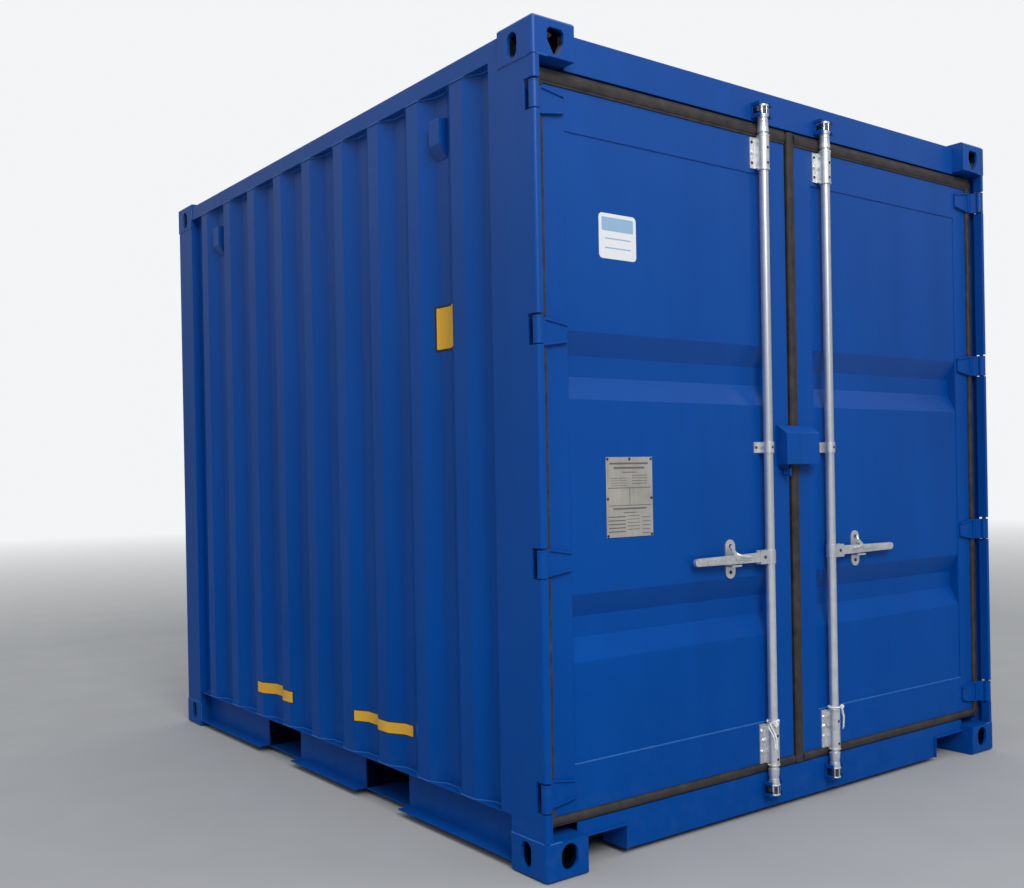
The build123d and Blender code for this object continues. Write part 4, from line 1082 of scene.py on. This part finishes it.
def close_lock_box(made):
    """Fills the split between the two halves of the hood, on the right door."""
    corners = [v.co for v in NODES["right_lock_box"].data.vertices]
    edge = min(c.x for c in corners)
    outline = sorted({(round(c.y, 5), round(c.z, 5)) for c in corners if c.x < edge + 1e-4})
    hull = bmesh.new()
    for y, z in outline:
        hull.verts.new((0, y, z))
    bmesh.ops.convex_hull(hull, input=hull.verts)
    rim = [(v.co.y, v.co.z) for v in hull.verts if v.link_faces]
    hull.free()
    middle = (sum(p[0] for p in rim) / len(rim), sum(p[1] for p in rim) / len(rim))
    rim.sort(key=lambda p: math.atan2(p[1] - middle[1], p[0] - middle[0]))
    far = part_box("left_lock_box")[1][0] + 0.0003
    shape = Shape()
    ends = [[shape.mesh.verts.new((x, y, z)) for y, z in rim] for x in (far, edge)]
    for ring in ends:
        shape.mesh.faces.new(ring)
    for i in range(len(rim)):
        j = (i + 1) % len(rim)
        shape.mesh.faces.new((ends[0][i], ends[0][j], ends[1][j], ends[1][i]))
    shape.done("lock_box_lap", made["blue_paint"], "right_door", "blue_paint")


def seal_bulbs(side, s, made):
    """The rounded lip that stands out of each seal strip."""
    low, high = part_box(f"{side}_door_seal")
    leaf_low, leaf_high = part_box(f"{side}_door_frame")
    face = low[1]
    outer = high[0] if s > 0 else low[0]
    inner = leaf_high[0] if s > 0 else leaf_low[0]
    middle = leaf_low[0] if s > 0 else leaf_high[0]

    def level(z0, z1, share):
        """The strip between two heights, as its ends, its direction across and half its lip's width."""
        z = (z0 + z1) / 2
        return (middle, face, z), (outer, face, z), (0, 0, 1), abs(z1 - z0) * share

    def upright(x0, x1, share):
        """The strip between two places across, in the same way."""
        x = (x0 + x1) / 2
        return (x, face, low[2]), (x, face, high[2]), (1, 0, 0), abs(x1 - x0) * share

    strips = [
        level(leaf_high[2], high[2], 0.36),
        level(low[2], leaf_low[2], 0.40),
        upright(inner, outer, 0.30),
    ]
    if side == "right":
        strips.append(upright(low[0], leaf_low[0], 0.34))
    shape = Shape()
    steps = 24
    for start, end, across, half in strips:
        line = []
        for i in range(steps + 1):
            point = Vector(start).lerp(Vector(end), i / steps)
            point.y += random.uniform(-0.0006, 0.0006)
            line.append((point, FRONT, across))
        shape.strip(line, [(-SINK, -half * 1.02)] + ellipse(half, 0.0045) + [(-SINK, half * 1.02)])
    shape.done(f"{side}_seal_bulb", made["door_seal_rubber"], f"{side}_door", "door_seal_rubber")


def weld_line(shape, a, b, radius=0.0032):
    """An uneven bead between two points."""
    a, b = Vector(a), Vector(b)
    count = max(4, int((b - a).length / WELD_STEP))
    shape.tube([a.lerp(b, i / count) for i in range(count + 1)], radius, 6, jitter=0.22)


def frame_welds(made):
    """Beads where castings, posts and rails meet."""
    (post_inner, post_front, _), (post_x, _, _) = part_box("right_door_post")
    (_, _, rail_foot), (rail_x, _, _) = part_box("right_bottom_rail")
    (_, cast_front, _), (_, cast_back, cast_head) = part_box("bottom_corner_castings")
    top_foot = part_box("top_corner_castings")[0][2]
    top_rail_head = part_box("right_top_rail")[1][2]
    inner_end = cast_front + CASTING_LENGTH
    face = post_front + SINK / 2
    shape = Shape()
    for s in (-1, 1):
        x, rail = s * post_x, s * rail_x
        for z in (cast_head, top_foot):
            weld_line(shape, (x, post_front + POST_FRONT_CORNER, z), (x, inner_end, z))
            weld_line(shape, (x, -inner_end, z), (x, cast_back - POST_BACK_CORNER, z))
            weld_line(shape, (s * (post_x - POST_FRONT_CORNER), face, z), (s * post_inner, face, z))
        for y in (inner_end, -inner_end):
            weld_line(shape, (rail, y, rail_foot + 2 * SINK), (rail, y, cast_head))
            weld_line(shape, (rail, y, top_foot + TOP_RAIL_LIFT), (rail, y, top_rail_head))
    # The beads' paint carries a painted highlight.
    shape.done("frame_welds", made["bead_paint_highlight"], "container", "blue_paint")


def wall_welds(made):
    """The bead along the foot and head of each side wall, following its folds."""
    for side, s in SIDES:
        node = f"{side}_side_wall"
        low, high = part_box(node)
        shape = Shape()
        for z, lift in ((low[2], SINK), (high[2], -SINK)):
            points = [Vector((x + s * SINK, y, z + lift)) for x, y in wall_line(node, z, s)]
            fine = []
            for a, b in zip(points, points[1:]):
                count = max(2, int((b - a).length / 0.02))
                fine.extend(a.lerp(b, i / count) for i in range(count))
            fine.append(points[-1])
            shape.tube(fine, 0.0028, 6, jitter=0.15)
        # The beads' paint carries a painted highlight.
        shape.done(f"{side}_wall_seams", made["bead_paint_highlight"], "container", "blue_paint")


def hinge_rims(side, s, made):
    """A rim at the head and foot of each hinge's knuckle."""
    low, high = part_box(f"{side}_hinge_blades")
    shape = Shape()
    first, last = low[2] + KNUCKLE_HEIGHT / 2, high[2] - KNUCKLE_HEIGHT / 2
    for i in range(HINGES):
        middle = first + (last - first) * i / (HINGES - 1)
        reach = KNUCKLE_HEIGHT / 2 - 0.0025
        for z in (middle + reach, middle - reach):
            shape.ring((s * HINGE_PIN_X, HINGE_PIN_Y, z), UP, 0.0150, 0.0166, 0.004)
    shape.done(f"{side}_hinge_rims", made["blue_paint"], f"{side}_door", "blue_paint")


make_camera()
fibre = rope_fibre()
make_rope("left", LEFT_ROUTE, LEFT_TWIN, LEFT_KNOT, fibre)
make_rope("right", RIGHT_ROUTE, RIGHT_TWIN, RIGHT_KNOT, fibre)

materials = {
    "blue_paint": blue_paint(),
    "casting_paint_inner_shade": blue_paint("casting_paint_inner_shade", casting=True),
    "pocket_paint_inner_shade": blue_paint("pocket_paint_inner_shade", pocket=True),
    "bead_paint_highlight": blue_paint("bead_paint_highlight", bead=True),
    "galvanised_steel": bright_zinc(),
    "bar_zinc": bar_zinc(),
    "grease_and_shade": grease_and_shade_steel(),
    "dull_zinc": dull_zinc(),
    "door_seal_rubber": seal_rubber(),
    "plywood": plywood(),
    "bare_plate": bare_plate(),
    "white_rope": fibre,
    "hole": hole_shade_paint(),
    "plate_ink": printed("plate_marks", (0.13, 0.13, 0.14), (0.22, 0.22, 0.22)),
}

make_stage()
dress_nodes(materials)

yellow = printed("label_yellow", LABEL_YELLOW, (0.88, 0.58, 0.16))
ink = printed("label_border", INK, (0.06, 0.06, 0.06))
left_wall = wall_line("left_side_wall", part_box("left_side_wall")[0][2], -1)
wall_label("height_label", left_wall, HEIGHT_LABEL, HEIGHT_LABEL_BORDER, yellow, ink)
for number, low_label in enumerate(LOW_LABELS):
    wall_label(f"low_label_{number}", left_wall, low_label, LOW_LABEL_BORDER, yellow, ink)

door_sticker(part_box("left_door_panel")[0][1])
data_plate_fields(materials)
for side_name, sign in SIDES:
    bearing_details(side_name, sign, materials)
    lever_details(side_name, sign, materials)
    bar_collars(side_name, sign, materials)
    seal_bulbs(side_name, sign, materials)
    hinge_rims(side_name, sign, materials)
    panel_seams(side_name, materials)
frame_welds(materials)
wall_welds(materials)
close_lock_box(materials)

bpy.context.scene.view_settings.view_transform = "Standard"
